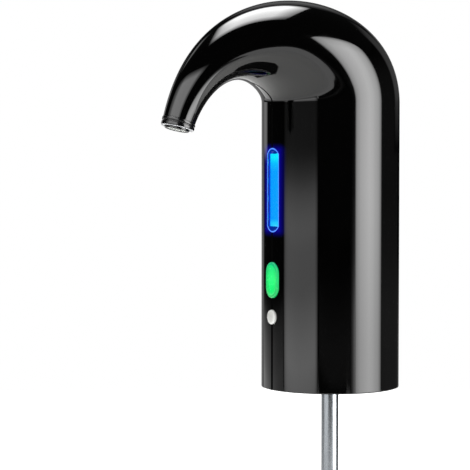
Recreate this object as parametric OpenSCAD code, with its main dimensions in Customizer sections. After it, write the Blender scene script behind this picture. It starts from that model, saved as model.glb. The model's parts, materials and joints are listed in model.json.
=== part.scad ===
// Electric wine aerator: a hooked gloss column with a spout, a light window, two buttons and a dip tube.
// Origin at the centre of the column's bottom rim, +Z up, spout and controls towards -Y.

/* [Column] */
// Diameter of the round column
body_d = 64; // [60:1:72]
// Height of the straight column, up to where the arch starts
column_h = 132; // [126:1:150]
// Wall of the two shell halves
wall = 2.4; // [1.8:0.1:2.8]
// Round on the bottom rim of the column
rim_round = 1; // [0.4:0.1:1.6]

/* [Spout] */
// Distance from the column's axis to the centre of the spout's end
spout_reach = 80.8; // [74:0.2:92]
// How far the spout's end lies below the top of the straight column
spout_drop = 8.2; // [4:0.2:14]
// Outside diameter of the shell at the spout's end
spout_tip_d = 14.9; // [14:0.1:18]
// Lean of the spout's end, away from straight down
spout_tilt = 19; // [10:1:26]
// Angle by which each side of the spout closes in at its end
spout_taper = 3.8; // [1:0.2:6]
// Length of the inner arch's upright start
inner_lead = 5.6; // [4:0.2:10]
// Length of the inner arch's straight finish
inner_trail = 37.8; // [30:0.2:44]
// Length of the outer arch's upright start
outer_lead = 58; // [48:0.5:66]
// Length of the outer arch's straight finish
outer_trail = 77; // [66:0.5:86]

/* [Nozzle] */
// Height of the ring on the spout's end
ring_h = 3; // [2:0.1:5]
// How far the ring stands out beyond the shell
ring_proud = 0.25; // [0.1:0.05:0.6]
// Diameter of the ring's open mouth
mouth_d = 12.2; // [11:0.1:13]
// Wall of the outlet tube
outlet_wall = 0.9; // [0.6:0.1:1.2]
// Length of the outlet tube behind the shell's end
outlet_back = 9; // [7:0.5:14]

/* [Light window] */
// Height of the window
window_h = 38.7; // [30:0.1:46]
// Width of the window
window_w = 10.2; // [8:0.1:12]
// Height of the window's centre above the rim
window_z = 92; // [86:0.5:98]
// Radius of the window's arched ends
window_end_r = 6; // [5.4:0.1:8]
// Thickness of the clear lens over the light bar
lens_t = 1.6; // [1:0.1:2]
// Width of the light bar
bar_w = 8; // [6:0.1:9]
// Height of the light bar
bar_h = 33.6; // [26:0.1:40]

/* [Buttons] */
// Height of the pour button
pour_h = 16.8; // [13:0.1:20]
// Width of the pour button
pour_w = 10.4; // [8:0.1:12]
// Height of the pour button's centre above the rim
pour_z = 50.8; // [49:0.2:55]
// Diameter of the mode button
mode_d = 7.2; // [6:0.1:9]
// Height of the mode button's centre above the rim
mode_z = 33.8; // [31:0.2:35]
// How far the pour button stands out of the column
pour_proud = 0.8; // [0.4:0.1:1.6]
// How far the mode button stands out of the column
mode_proud = 1.4; // [0.8:0.1:2]
// Press travel of the buttons
button_travel = 0.6; // [0.3:0.05:0.8]
// Width of the flange that keeps a button in its hole
button_flange = 1.2; // [0.8:0.1:1.6]

/* [Seat] */
// Bore of the cup in the column's base
cup_d = 30.8; // [30:0.1:33]
// Depth of the cup, up to its roof
cup_depth = 23.5; // [21:0.5:26]
// Wall of the cup
cup_wall = 2; // [1.5:0.1:2.4]
// Thickness of the cup's roof
roof_t = 2.5; // [2:0.1:3.5]
// Thickness of the gasket under the cup's roof
gasket_t = 1.5; // [1:0.1:2]
// Diameter over the stopper's ribs
stopper_d = 19; // [18:0.1:20]
// Number of ribs on the stopper
stopper_ribs = 5; // [3:1:6]
// Height of one rib's land
rib_h = 2; // [1.2:0.1:2.4]
// How far the ribs stand out of the stopper
rib_out = 1.1; // [0.6:0.1:1.4]
// How far the stopper reaches below the rim
stopper_below = 2; // [1:0.5:5]

/* [Dip tube] */
// Outside diameter of the fixed tube
tube_d = 8; // [7.6:0.1:8.4]
// Wall of the three tubes
tube_wall = 0.4; // [0.3:0.05:0.5]
// How far the fixed tube reaches below the rim
tube_below = 76; // [60:1:110]
// How far each sliding tube ends below the one around it
tube_step = 2; // [1:0.5:4]
// Height of the rolled and flared ends that stop the tubes
tube_stop_h = 3; // [2:0.5:5]

/* [Power] */
// Diameter of the battery cell
cell_d = 18.3; // [17:0.1:19]
// Length of the battery cell
cell_len = 49.5; // [44:0.5:52]
// Height of the charging socket's centre above the rim
socket_z = 18.5; // [16:0.5:20]

/* [Air pump] */
// Diameter of the pump
pump_d = 26; // [25:0.5:27]
// Height of the pump's cover
cover_h = 4.5; // [4:0.1:6]
// Height of the pump's body
pump_h = 12.6; // [12:0.1:15]
// Diameter of the motor's can
motor_d = 24.4; // [23.6:0.1:24.8]
// Length of the motor's can
motor_len = 31; // [29:0.5:33]
// Diameter of the motor's shaft
shaft_d = 2; // [1.6:0.1:2.4]

/* [Hoses] */
// Outside diameter of the long hose to the outlet
hose_d = 7; // [6.6:0.1:7.6]
// Bore of the long hose to the outlet
hose_bore = 5; // [4.4:0.1:5.4]
// Outside diameter of the air hose
air_d = 5.6; // [5:0.1:6.4]
// Bore of the air hose
air_bore = 3.3; // [3:0.1:3.6]

/* [Clearances] */
// Gap between two fixed pieces that fit round each other
fit = 0.05; // [0.03:0.01:0.1]
// Gap round a piece that moves
run = 0.2; // [0.15:0.01:0.3]
// Gap round a shaft in its bush and between the sliding tubes
slide = 0.05; // [0.03:0.01:0.08]

/* [Hidden] */
$fn = 64;

// Colours
gloss_black = "#0c0c0f";
inner_grey = "#55585c";
steel = "#b9bec4";
silicone = "#d9dcd8";
board_green = "#1d5a38";
copper = "#b8703c";

// Column
body_r = body_d / 2;
inner_r = body_r - wall;
hook_steps = 32;
ring_steps = 40;
// The loft's flat facets stay within the column's round wall where the two meet
facet_sag = inner_r * (1 - cos(180 / ring_steps));
loft_step = 0.02;
loft_foot = 2;
hook_wall = wall - facet_sag - loft_step;

// Arch: the profile's inner and outer curves, as points [y, z]
tip_h = column_h - spout_drop;
tip_r = spout_tip_d / 2;
tip = [-spout_reach, tip_h];
tip_side = [cos(spout_tilt), -sin(spout_tilt)];
inner_end = tip + tip_r * tip_side;
outer_end = tip - tip_r * tip_side;
inner_curve = [[-body_r, column_h], [-body_r, column_h + inner_lead],
    inner_end + inner_trail * upward(spout_tilt + spout_taper), inner_end];
outer_curve = [[body_r, column_h], [body_r, column_h + outer_lead],
    outer_end + outer_trail * upward(spout_tilt - spout_taper), outer_end];

// Bottom of the housing
base_recess = 0.6;
base_t = 2.2;
base_top = base_recess + base_t;
base_r = inner_r - run;
cup_r = cup_d / 2;
cup_out = cup_r + cup_wall;
roof_top = cup_depth + roof_t;
screw_circle = inner_r - 4;
screw_angle = 40;
screw_boss_d = 6.4;
screw_boss_top = base_top + 12;
screw_d = 2.2;
screw_head_d = 4.6;
screw_head_h = 1.4;
screw_len = 9;
thread_gap = fit;

// Control board, set back from the column's front by the switches
switch_w = 6;
switch_h = 3.5;
switch_stem_d = 3.4;
switch_stem_h = 1.5;
stem_seat = 0.7;
switch_bore = stem_seat + button_travel + 0.8;
board_w = 26;
board_t = 1.6;
board_front = inner_r - switch_h - switch_stem_h - 3;
board_back = board_front - board_t;
board_z0 = mode_z - 5.5;
board_z1 = window_z + window_h / 2 + 6;
stem_tip = board_front + switch_h + switch_stem_h;
flange_r = stem_tip + 2.4;
led_w = 3;
led_h = 1.2;
led_gap = 0.2;
bar_front = body_r - lens_t;
lens_flange = 1.4;
lens_flange_t = 1.2;
board_screw_x = 10;
board_screw_d = 1.8;
board_screw_head = 3.8;
tab_w = 6;
tab_t = 3;
tab_h = 8;

// Long hose, between the board and the pump
hose_y = -(board_back - 2.5 - hose_d / 2);
hose_end = outlet_back + 1;
hose_lap = 0.02;
arc_angle = 180 - spout_tilt;
arc_r = (spout_reach - hose_end * sin(spout_tilt) + hose_y) / (1 + cos(spout_tilt));
arc_z = tip_h + hose_end * cos(spout_tilt) - arc_r * sin(spout_tilt);
barb_r = hose_bore / 2 - fit;
barb_wall = 0.8;
barb_len = 9;
outlet_barb = 3;
outlet_barb_gap = 0.16;

// Manifold on the cup's roof
spigot_r = stopper_d / 2 - rib_out - 2.2;
air_bore_r = spigot_r - 1;
socket_top = roof_top + 8;
socket_foot = roof_top + 3.5;
wine_z = socket_top + 3;
manifold_top = wine_z + 3;
air_arm_top = roof_top + 5;
port_r = air_bore / 2;
valve_r = 3;
manifold_wall = 1.2;
wine_passage = 1.8;
passage_start = 0.4;
passage_over = 0.8;
arm_swell = 0.3;
arm_lift = 0.6;
valve_top = air_arm_top + 5;
valve_spigot = 3.5;
air_passage = 1.6;

// Chassis decks
deck_t = 2.5;
deck_z = manifold_top + 2;
deck_top = deck_z + deck_t;
deck_r = inner_r - 0.3;
deck_flat = board_back - 1.6;
web_t = 2;
web_x = 2.3;
row_y = 3;
row_gap = 0.6;
pump_x = web_x - row_gap - pump_d / 2;
cell_x = web_x + web_t + row_gap + cell_d / 2;
clip_gap = 0.2;
clip_t = 1.6;
clip_h = 6;
clip_open = 130;

// Pump stack, from the lower deck up
valve_plate_h = 2;
membrane_t = 1.4;
nipple_len = 5;
pump_wall = 3.6;
cover_top = deck_top + cover_h;
plate_top = cover_top + valve_plate_h;
membrane_top = plate_top + membrane_t;
pump_top = membrane_top + pump_h;
pump_floor = 1.5;
pump_screw_circle = pump_d / 2 - pump_wall / 2;
pump_screw_d = 2;
pump_screw_head = 3.4;
pump_screw_head_h = 1.4;
chamber_circle = 5.4;
cup_bump_r = 2.6;
cup_bump_h = 2.6;
peg_r = 0.8;
peg_h = 2.6;
rocker_z = membrane_top + cup_bump_h;
rocker_t = 1.2;
rocker_hub_h = 2.6;
rocker_hub_r = 2.2;
crank_z = rocker_z + rocker_t + rocker_hub_h + 0.4;
crank_r = 4.6;
pin_d = 1;
pin_lean = 12;
pin_foot = rocker_z + 1.6;

// Motor
can_wall = 1;
can_r = motor_d / 2;
motor_top = pump_top + motor_len;
cap_h = 4;
cap_in = 1.5;
terminal_h = 2.5;
bush_r = 2.6;
bush_h = 3;
shaft_r = shaft_d / 2;
magnet_t = 1.9;
magnet_arc = 130;
air_gap = 0.6;
rotor_r = can_r - can_wall - fit - magnet_t - air_gap;
core_gap = 6;
core_z = pump_top + core_gap;
pole_t = 2.6;
pole_shoe = 1.4;
commutator_r = 2.8;
commutator_h = 5;
commutator_gap = 0.5;
commutator_z = motor_top - cap_in - commutator_gap - commutator_h;
riser_h = 3;
core_h = commutator_z - riser_h - core_z;
brush_gap = 0.1;
cap_top = motor_top - cap_in + cap_h;

// Battery, and the upper deck over battery and motor
pad_h = 3;
contact_t = 0.5;
contact_r = 7;
cell_z = deck_top + pad_h + contact_t;
upper_deck_z = max(cap_top + terminal_h + 1.5, cell_z + cell_len + contact_t + pad_h);
upper_deck_top = upper_deck_z + deck_t;
collar_t = 1.8;
collar_h = upper_deck_z - motor_top + 3;
ledge = 2;
ledge_angle = 55;

// Seam pins
pin_boss_r = 3;
seam_pin_r = 1.5;
seam_pin_len = 4;
seam_boss_len = 12;
seam_y = inner_r - 4.1;
top_step = 0.42;
top_boss_len = 5.5;
top_boss_r = 2.4;
seam_pins = [[seam_y, upper_deck_z - 35], [seam_y, upper_deck_top + 13]];

// Charging socket
usb_w = 8.9;
usb_h = 3.3;
usb_len = 7.4;
usb_wall = 0.35;
usb_floor = 0.8;
tongue_w = 6.6;
tongue_t = 0.7;
port_gap = 0.25;
usb_mouth = body_r - 0.6;
charge_t = 1.2;
charge_w = 16;
charge_y0 = cup_out + 1.2;
charge_y1 = inner_r - 1.2;
post_x = 5.5;
post_y = charge_y0 + 2.6;
post_r = 2;
post_pin_r = 0.9;
board_low = socket_z - usb_h / 2 - charge_t;

// Dip tubes
tube_r = tube_d / 2;
tube_bore = tube_r - tube_wall;
mid_r = tube_bore - tube_wall - slide;
mid_bore = mid_r - tube_wall;
low_r = mid_bore - tube_wall - slide;
low_bore = low_r - tube_wall;
mid_top = socket_foot - 6;
low_top = mid_top - 2;
mid_end = -tube_below - tube_step;
low_end = mid_end - tube_step;

// Direction back up the spout, at an angle from straight up
function upward(a) = [sin(a), cos(a)];

// Point of a cubic Bezier curve
function bezier(p, t) = pow(1 - t, 3) * p[0] + 3 * pow(1 - t, 2) * t * p[1]
    + 3 * (1 - t) * t * t * p[2] + pow(t, 3) * p[3];

// Centre, direction towards the outer curve, and radius of one round section of the arch
function section(t) =
    let (i = bezier(inner_curve, t), o = bezier(outer_curve, t))
    [(i + o) / 2, (o - i) / norm(o - i), norm(o - i) / 2];

// Ring of points round a section, half a facet off the seam's plane
function ring(s, r) = [for (k = [0 : ring_steps - 1])
    let (a = 360 * (k + 0.5) / ring_steps, q = s[0] + s[1] * r * cos(a))
    [r * sin(a), q[0], q[1]]];

// Outer and inner ring of the wall at one section, one after the other
function wall_ring(t) =
    let (s = section(t))
    concat(ring(s, s[2] - loft_step), ring(s, s[2] - hook_wall));

// Hollow arch, lofted through its sections, with a foot in the column's wall
module hook() {
    foot = [for (p = wall_ring(0)) p - [0, 0, loft_foot]];
    rings = concat([foot], [for (k = [0 : hook_steps]) wall_ring(k / hook_steps)]);
    steps = len(rings) - 1;
    n = ring_steps;
    skins = [for (k = [0 : steps - 1], j = [0 : n - 1])
        let (a = 2 * n * k + j, b = 2 * n * k + (j + 1) % n, c = a + 2 * n, d = b + 2 * n)
        each [[a, b, c], [b, d, c], [a + n, c + n, b + n], [b + n, c + n, d + n]]];
    ends = [for (j = [0 : n - 1])
        let (i = (j + 1) % n, top = 2 * n * steps)
        each [[j, j + n, i], [i, j + n, i + n],
            [top + j, top + i, top + j + n], [top + i, top + i + n, top + j + n]]];
    polyhedron([for (r = rings, p = r) p], concat(skins, ends));
}

// Outline with straight sides and round ends
module stadium(w, h) {
    square([w, h - w], center = true);
    for (s = [-1, 1])
        translate([0, s * (h - w) / 2])
            circle(d = w);
}

// Outline with straight sides and shallow arched ends
module arched(w, h, r) {
    intersection() {
        square([w, h], center = true);
        union() {
            square([2 * r, h - 2 * r], center = true);
            for (s = [-1, 1])
                translate([0, s * (h / 2 - r)])
                    circle(r);
        }
    }
}

module window_outline(grow = 0) {
    arched(window_w + 2 * grow, window_h + 2 * grow, window_end_r + grow);
}

// Outline of the charging socket
module port_outline(grow = 0) {
    rotate(90)
        stadium(usb_h + 2 * grow, usb_w + 2 * grow);
}

module tube(r_out, r_in, z0, z1) {
    rotate_extrude()
        translate([r_in, z0])
            square([r_out - r_in, z1 - z0]);
}

// Upright cylinder between two heights
module post(r, z0, z1) {
    translate([0, 0, z0])
        cylinder(r = r, h = z1 - z0);
}

// Prism that stands out of the front, between two distances from the axis
module front_prism(z, r0, r1) {
    translate([0, -r0, z])
        rotate([90, 0, 0])
            linear_extrude(r1 - r0)
                children();
}

module at_pump() {
    translate([pump_x, row_y, 0])
        children();
}

module at_cell() {
    translate([cell_x, row_y, 0])
        children();
}

// Frame at the spout's end, +Z out of the spout
module at_tip() {
    translate([0, -spout_reach, tip_h])
        rotate([180 - spout_tilt, 0, 0])
            children();
}

module around(count, radius, first = 0) {
    for (k = [0 : count - 1])
        rotate([0, 0, first + 360 * k / count])
            translate([radius, 0, 0])
                children();
}

module at_base_screws(sides) {
    for (s = sides, a = [-screw_angle, screw_angle])
        rotate([0, 0, s < 0 ? 180 + a : a])
            translate([screw_circle, 0, 0])
                children();
}

module at_board_screws() {
    for (x = [-board_screw_x, board_screw_x], z = [deck_top + 4, upper_deck_z - 4])
        translate([x, 0, z])
            children();
}

module at_pump_screws() {
    at_pump()
        around(3, pump_screw_circle, 60)
            children();
}

// Straight column, with the rounded bottom rim
module column() {
    rotate_extrude() {
        translate([inner_r, rim_round])
            square([wall, column_h - rim_round]);
        translate([inner_r, 0])
            square([wall - rim_round, rim_round]);
        translate([body_r - rim_round, rim_round])
            circle(rim_round);
    }
}

// The half of its children on the +X side of the seam
module right_half() {
    intersection() {
        children();
        translate([0, -2 * spout_reach, -1])
            cube([body_d, 4 * spout_reach, 2 * column_h]);
    }
}

module shell_ledge(z) {
    rotate([0, 0, -ledge_angle])
        rotate_extrude(angle = 2 * ledge_angle)
            translate([inner_r - ledge, z])
                square([ledge + wall / 2, ledge]);
}

module shell_screw_bosses() {
    at_base_screws([1]) {
        post(screw_boss_d / 2, base_top, screw_boss_top);
        translate([0, -1, base_top])
            cube([inner_r - screw_circle + wall / 2, 2, screw_boss_top - base_top]);
    }
}

// Places of the seam's pins, each with the boss's radius and length
module at_seam_pins() {
    for (p = seam_pins)
        translate([0, p[0], p[1]])
            rotate([0, 90, 0])
                children();
}

module at_top_pin() {
    s = section(top_step);
    q = s[0] + s[1] * (s[2] - wall - 1.4);
    translate([0, q[0], q[1]])
        rotate([0, 90, 0])
            children();
}

module shell_half() {
    difference() {
        union() {
            right_half() {
                column();
                hook();
            }
            shell_screw_bosses();
            shell_ledge(deck_z - ledge);
            shell_ledge(upper_deck_top);
            at_seam_pins()
                cylinder(r = pin_boss_r, h = seam_boss_len);
            at_top_pin()
                cylinder(r = top_boss_r, h = top_boss_len);
        }
        front_prism(window_z, inner_r - ledge, body_r + 1)
            window_outline();
        front_prism(pour_z, inner_r - ledge, body_r + 1)
            stadium(pour_w, pour_h);
        front_prism(mode_z, inner_r - ledge, body_r + 1)
            circle(d = mode_d);
        translate([0, body_r + 1, socket_z])
            rotate([90, 0, 0])
                linear_extrude(wall + 2)
                    port_outline(port_gap);
        at_base_screws([1])
            post(screw_d / 2 + thread_gap, base_top - 1, screw_boss_top - 2);
    }
}

module left_shell() {
    color(gloss_black)
        mirror([1, 0, 0])
            difference() {
                shell_half();
                at_seam_pins()
                    cylinder(r = seam_pin_r + fit, h = seam_pin_len + 1);
                at_top_pin()
                    cylinder(r = seam_pin_r + fit, h = seam_pin_len + 1);
            }
}

module right_shell() {
    color(gloss_black) {
        shell_half();
        at_seam_pins()
            translate([0, 0, -seam_pin_len])
                cylinder(r = seam_pin_r, h = seam_pin_len + 1);
        at_top_pin()
            translate([0, 0, -seam_pin_len])
                cylinder(r = seam_pin_r, h = seam_pin_len + 1);
    }
}

// Bottom plate with the cup that seats the column
module base_cover() {
    color(inner_grey)
        difference() {
            union() {
                tube(base_r, cup_r, base_recess, base_top);
                tube(cup_out, cup_r, base_recess, roof_top);
                tube(cup_out, spigot_r + fit, cup_depth, roof_top);
                for (s = [-1, 1])
                    translate([s * post_x, post_y, 0]) {
                        post(post_r, base_recess, board_low);
                        post(post_pin_r, board_low - 1, board_low + charge_t + 0.8);
                    }
            }
            at_base_screws([-1, 1]) {
                post(screw_d / 2 + fit, base_recess - 1, base_top + 1);
                post(screw_head_d / 2 + fit, base_recess - 1, base_recess + screw_head_h);
            }
        }
}

// Pan-head screw, head below, driven upwards
module screw(d, head_d, head_h, len) {
    post(d / 2, 0, len);
    difference() {
        post(head_d / 2, -head_h, 0);
        for (a = [0, 90])
            rotate([0, 0, a])
                translate([-head_d / 4, -head_h / 4, -head_h - 1])
                    cube([head_d / 2, head_h / 2, 1 + head_h / 2]);
    }
}

module base_screws() {
    color(steel)
        at_base_screws([-1, 1])
            translate([0, 0, base_recess + screw_head_h])
                screw(screw_d, screw_head_d, screw_head_h, screw_len);
}

// Ring that closes the spout's end and holds the two halves together
module nozzle_ring() {
    ring_r = tip_r + ring_proud;
    collar_r = tip_r - wall - fit;
    collar_in = collar_r - outlet_wall;
    groove = 0.3;
    edge = 0.5;
    color("#2a2a2e")
        at_tip()
            rotate_extrude() {
                translate([collar_in, -outlet_back / 2])
                    square([outlet_wall, outlet_back / 2 + 0.1]);
                translate([collar_in, 0])
                    square([tip_r - groove - collar_in, ring_h / 2]);
                translate([mouth_d / 2, 0])
                    square([tip_r - groove - mouth_d / 2, ring_h - edge]);
                translate([mouth_d / 2, groove])
                    square([ring_r - mouth_d / 2, ring_h - groove - edge]);
                translate([mouth_d / 2, 0])
                    square([ring_r - edge - mouth_d / 2, ring_h]);
                translate([ring_r - edge, ring_h - edge])
                    circle(edge);
            }
}

// Outlet with a barb for the hose, widening towards the mouth
module outlet_tube() {
    out_r = tip_r - wall - 2 * fit - outlet_wall;
    in_r = out_r - outlet_wall;
    barb_out = hose_bore / 2 - outlet_barb_gap;
    barb_in = barb_out - barb_wall;
    barb_end = -hose_end - outlet_barb;
    lip = ring_h * 0.8;
    color(silicone)
        at_tip()
            rotate_extrude()
                polygon([[barb_in, barb_end], [barb_out, barb_end], [barb_out, -hose_end],
                    [out_r, -hose_end], [out_r, lip], [in_r, lip],
                    [in_r, -outlet_back / 2], [barb_in, -outlet_back]]);
}

// Clear lens, flush with the column, with a pocket for the light bar
module window_lens() {
    color("#3f7dff", 0.6)
        difference() {
            intersection() {
                union() {
                    front_prism(window_z, inner_r - 4, body_r + 1)
                        window_outline(-fit);
                    difference() {
                        front_prism(window_z, inner_r - 4, inner_r)
                            window_outline(lens_flange);
                        front_prism(window_z, inner_r - 5, inner_r + 1)
                            window_outline(-fit);
                    }
                }
                union() {
                    tube(inner_r - fit, inner_r - lens_flange_t, 0, column_h);
                    intersection() {
                        tube(body_r, inner_r - lens_flange_t, 0, column_h);
                        front_prism(window_z, inner_r - 4, body_r + 1)
                            window_outline(-fit);
                    }
                }
            }
            front_prism(window_z, inner_r - 5, bar_front + fit)
                square([bar_w + 2 * fit, bar_h + 2 * fit], center = true);
        }
}

// Bar that carries the light from the board to the window
module light_guide() {
    color("#1e8bff")
        intersection() {
            front_prism(window_z, board_front + led_h + led_gap, body_r)
                square([bar_w, bar_h], center = true);
            post(bar_front, 0, column_h);
        }
}

module led(z) {
    front_prism(z, board_front, board_front + led_h)
        square([led_w, led_w], center = true);
}

module leds() {
    color("#f2f2e6") {
        for (k = [-1.5 : 1 : 1.5])
            led(window_z + k * bar_h / 4);
        for (s = [-1, 1])
            led(pour_z + s * (switch_w / 2 + led_w / 2 + 0.4));
    }
}

module control_board() {
    color(board_green)
        difference() {
            translate([-board_w / 2, -board_front, board_z0])
                cube([board_w, board_t, board_z1 - board_z0]);
            at_board_screws()
                rotate([90, 0, 0])
                    post(board_screw_d / 2 + fit, board_back - 1, board_front + 1);
        }
}

module board_screws() {
    color(steel)
        at_board_screws()
            translate([0, -board_front, 0])
                rotate([-90, 0, 0])
                    screw(board_screw_d, board_screw_head, 1.2, board_t + tab_t - 0.4);
}

// Push switch on the board, open at the front for its stem
module switch_body(z) {
    difference() {
        front_prism(z, board_front, board_front + switch_h)
            square([switch_w, switch_w], center = true);
        front_prism(z, board_front + switch_h - switch_bore, board_front + switch_h + 1)
            circle(d = switch_stem_d + 2 * slide);
    }
}

module switch_stem(z) {
    front_prism(z, board_front + switch_h - stem_seat, stem_tip)
        circle(d = switch_stem_d);
}

module pour_switch() {
    color("#303236")
        switch_body(pour_z);
}

module mode_switch() {
    color("#303236")
        switch_body(mode_z);
}

module pour_switch_stem() {
    color("#d8d4c6")
        switch_stem(pour_z);
}

module mode_switch_stem() {
    color("#d8d4c6")
        switch_stem(mode_z);
}

// Foot between a button's flange and its switch
module button_foot(z) {
    front_prism(z, stem_tip, flange_r - button_flange)
        circle(d = switch_stem_d);
}

// Long lit button whose face follows the column's round
module pour_button() {
    color("#2fc35a") {
        intersection() {
            front_prism(pour_z, flange_r - button_flange, body_r + pour_proud)
                stadium(pour_w - 2 * run, pour_h - 2 * run);
            post(body_r + pour_proud, 0, column_h);
        }
        intersection() {
            front_prism(pour_z, flange_r - button_flange, flange_r)
                stadium(pour_w + 2 * button_flange, pour_h + 2 * button_flange);
            post(inner_r - run, 0, column_h);
        }
        button_foot(pour_z);
    }
}

// Small round button with a domed face
module mode_button() {
    dome_r = mode_d * 1.1;
    color("#f2f2f2") {
        intersection() {
            front_prism(mode_z, flange_r - button_flange, body_r + mode_proud)
                circle(d = mode_d - 2 * run);
            translate([0, dome_r - body_r - mode_proud, mode_z])
                rotate([90, 0, 0])
                    union() {
                        sphere(dome_r);
                        translate([0, 0, -dome_r])
                            cylinder(r = dome_r, h = dome_r);
                    }
        }
        intersection() {
            front_prism(mode_z, flange_r - button_flange, flange_r)
                circle(d = mode_d + 2 * button_flange);
            post(inner_r - run, 0, column_h);
        }
        button_foot(mode_z);
    }
}

module charge_board() {
    color(board_green)
        difference() {
            translate([-charge_w / 2, charge_y0, board_low])
                cube([charge_w, charge_y1 - charge_y0, charge_t]);
            for (s = [-1, 1])
                translate([s * post_x, post_y, 0])
                    post(post_pin_r + fit, board_low - 1, board_low + charge_t + 1);
        }
}

// Charging socket with its contact tongue
module charge_socket() {
    color(steel)
        translate([0, usb_mouth, socket_z])
            rotate([90, 0, 0]) {
                difference() {
                    linear_extrude(usb_len)
                        port_outline();
                    translate([0, 0, -1])
                        linear_extrude(usb_len + 1 - usb_floor)
                            port_outline(-usb_wall);
                }
                translate([-tongue_w / 2, -tongue_t / 2, usb_floor])
                    cube([tongue_w, tongue_t, usb_len - 2 * usb_floor + 0.1]);
            }
}

module battery_cell() {
    color("#3f6fb5")
        at_cell() {
            post(cell_d / 2, cell_z, cell_z + cell_len - 1);
            post(cell_d / 4, cell_z + cell_len - 1.5, cell_z + cell_len);
        }
}

module battery_contacts() {
    color(steel)
        at_cell()
            for (z = [cell_z - contact_t, cell_z + cell_len]) {
                post(contact_r, z, z + contact_t);
                translate([-2, 0, z])
                    cube([4, contact_r + 2, contact_t]);
            }
}

// Deck across the column, flat behind the control board
module deck(z) {
    intersection() {
        post(deck_r, z, z + deck_t);
        translate([-deck_r, -deck_flat, z])
            cube([2 * deck_r, deck_flat + deck_r, deck_t]);
    }
}

module board_tabs() {
    for (x = [-board_screw_x, board_screw_x], z = [deck_z, upper_deck_top - tab_h - deck_t])
        translate([x - tab_w / 2, -board_back, z])
            cube([tab_w, tab_t, tab_h + deck_t]);
}

module cell_clip(z) {
    at_cell()
        rotate([0, 0, clip_open / 2])
            rotate_extrude(angle = 360 - clip_open)
                translate([cell_d / 2 + clip_gap, z])
                    square([clip_t, clip_h]);
}

// Frame that carries the pump, the motor, the cell and the board
module chassis() {
    color(inner_grey)
        difference() {
            union() {
                deck(deck_z);
                deck(upper_deck_z);
                translate([web_x, row_y - 11, deck_z])
                    cube([web_t, 22, upper_deck_top - deck_z]);
                board_tabs();
                cell_clip(cell_z + 8);
                cell_clip(cell_z + cell_len - 14);
                at_cell() {
                    post(contact_r + 1, deck_z, deck_top + pad_h);
                    post(contact_r + 1, cell_z + cell_len + contact_t, upper_deck_top);
                }
                at_pump()
                    tube(can_r + 2 * fit + collar_t, can_r + 2 * fit, upper_deck_z - collar_h,
                        upper_deck_z + 1);
            }
            at_pump() {
                post(air_d / 2 + 1.2, deck_z - 1, deck_top + 1);
                post(can_r - 3, upper_deck_z - 1, upper_deck_top + 1);
            }
            translate([0, hose_y, 0])
                post(hose_d / 2 + 0.6, deck_z - 1, upper_deck_top + 1);
            at_pump_screws()
                post(pump_screw_d / 2 + fit, deck_z - 1, deck_top + 1);
            at_board_screws()
                rotate([90, 0, 0])
                    post(board_screw_d / 2 + thread_gap, board_back - tab_t - 1, board_back + 1);
        }
}

module motor_can() {
    color(steel)
        at_pump() {
            tube(can_r, can_r - can_wall, pump_top, motor_top);
            tube(can_r, bush_r + fit, pump_top, pump_top + can_wall);
        }
}

module motor_magnets() {
    color("#4a4a4e")
        at_pump()
            for (a = [0, 180])
                rotate([0, 0, a - magnet_arc / 2])
                    rotate_extrude(angle = magnet_arc)
                        translate([rotor_r + air_gap, core_z - 2])
                            square([magnet_t, core_h + 4]);
}

module motor_bushes() {
    color("#a8803f")
        at_pump() {
            tube(bush_r, shaft_r + slide, pump_top, pump_top + bush_h);
            tube(bush_r, shaft_r + slide, cap_top - bush_h, cap_top);
        }
}

module motor_end_cap() {
    color("#1f1f22")
        at_pump() {
            tube(can_r - can_wall - fit, bush_r + fit, motor_top - cap_in, motor_top);
            tube(can_r, bush_r + fit, motor_top, cap_top);
            for (s = [-1, 1])
                translate([s * 6 - 1.2, -0.3, cap_top - 1])
                    cube([2.4, 0.6, terminal_h + 1]);
        }
}

module motor_brushes() {
    brush_x = commutator_r + brush_gap;
    color(copper)
        at_pump()
            for (a = [0, 180])
                rotate([0, 0, a]) {
                    translate([brush_x, -1, commutator_z + 1])
                        cube([2.4, 2, commutator_h - 2]);
                    translate([brush_x + 2, -1, commutator_z + 1])
                        cube([0.4, 2, motor_top - cap_in - commutator_z - 1]);
                }
}

module motor_shaft() {
    color(steel)
        at_pump()
            post(shaft_r, crank_z + 0.6, cap_top - 0.3);
}

// Three-pole core of the armature
module armature() {
    shoe_in = rotor_r - pole_shoe;
    color("#8d9196")
        at_pump()
            translate([0, 0, core_z])
                linear_extrude(core_h)
                    difference() {
                        union() {
                            circle(shaft_r + 2);
                            for (a = [0, 120, 240])
                                rotate(a)
                                    translate([0, -pole_t / 2])
                                        square([shoe_in + 0.5, pole_t]);
                            difference() {
                                circle(rotor_r);
                                circle(shoe_in);
                                for (a = [60, 180, 300])
                                    rotate(a)
                                        translate([0, -1])
                                            square([rotor_r + 1, 2]);
                            }
                        }
                        circle(shaft_r + fit / 2);
                    }
}

// Coils wound on the poles
module windings() {
    shoe_in = rotor_r - pole_shoe;
    hub = shaft_r + 2;
    color(copper)
        at_pump()
            for (a = [0, 120, 240])
                rotate([0, 0, a])
                    difference() {
                        translate([hub + 1.2, -pole_t / 2 - 1, core_z - 1])
                            cube([shoe_in - hub - 1.8, pole_t + 2, core_h + 2]);
                        translate([0, -pole_t / 2 - fit, core_z - fit])
                            cube([rotor_r, pole_t + 2 * fit, core_h + 2 * fit]);
                    }
}

module commutator() {
    color(copper)
        at_pump()
            difference() {
                tube(commutator_r, shaft_r + fit / 2, core_z + core_h, commutator_z + commutator_h);
                around(3, commutator_r, 30)
                    translate([-0.5, -0.15, commutator_z])
                        cube([1, 0.3, commutator_h + 1]);
            }
}

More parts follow.
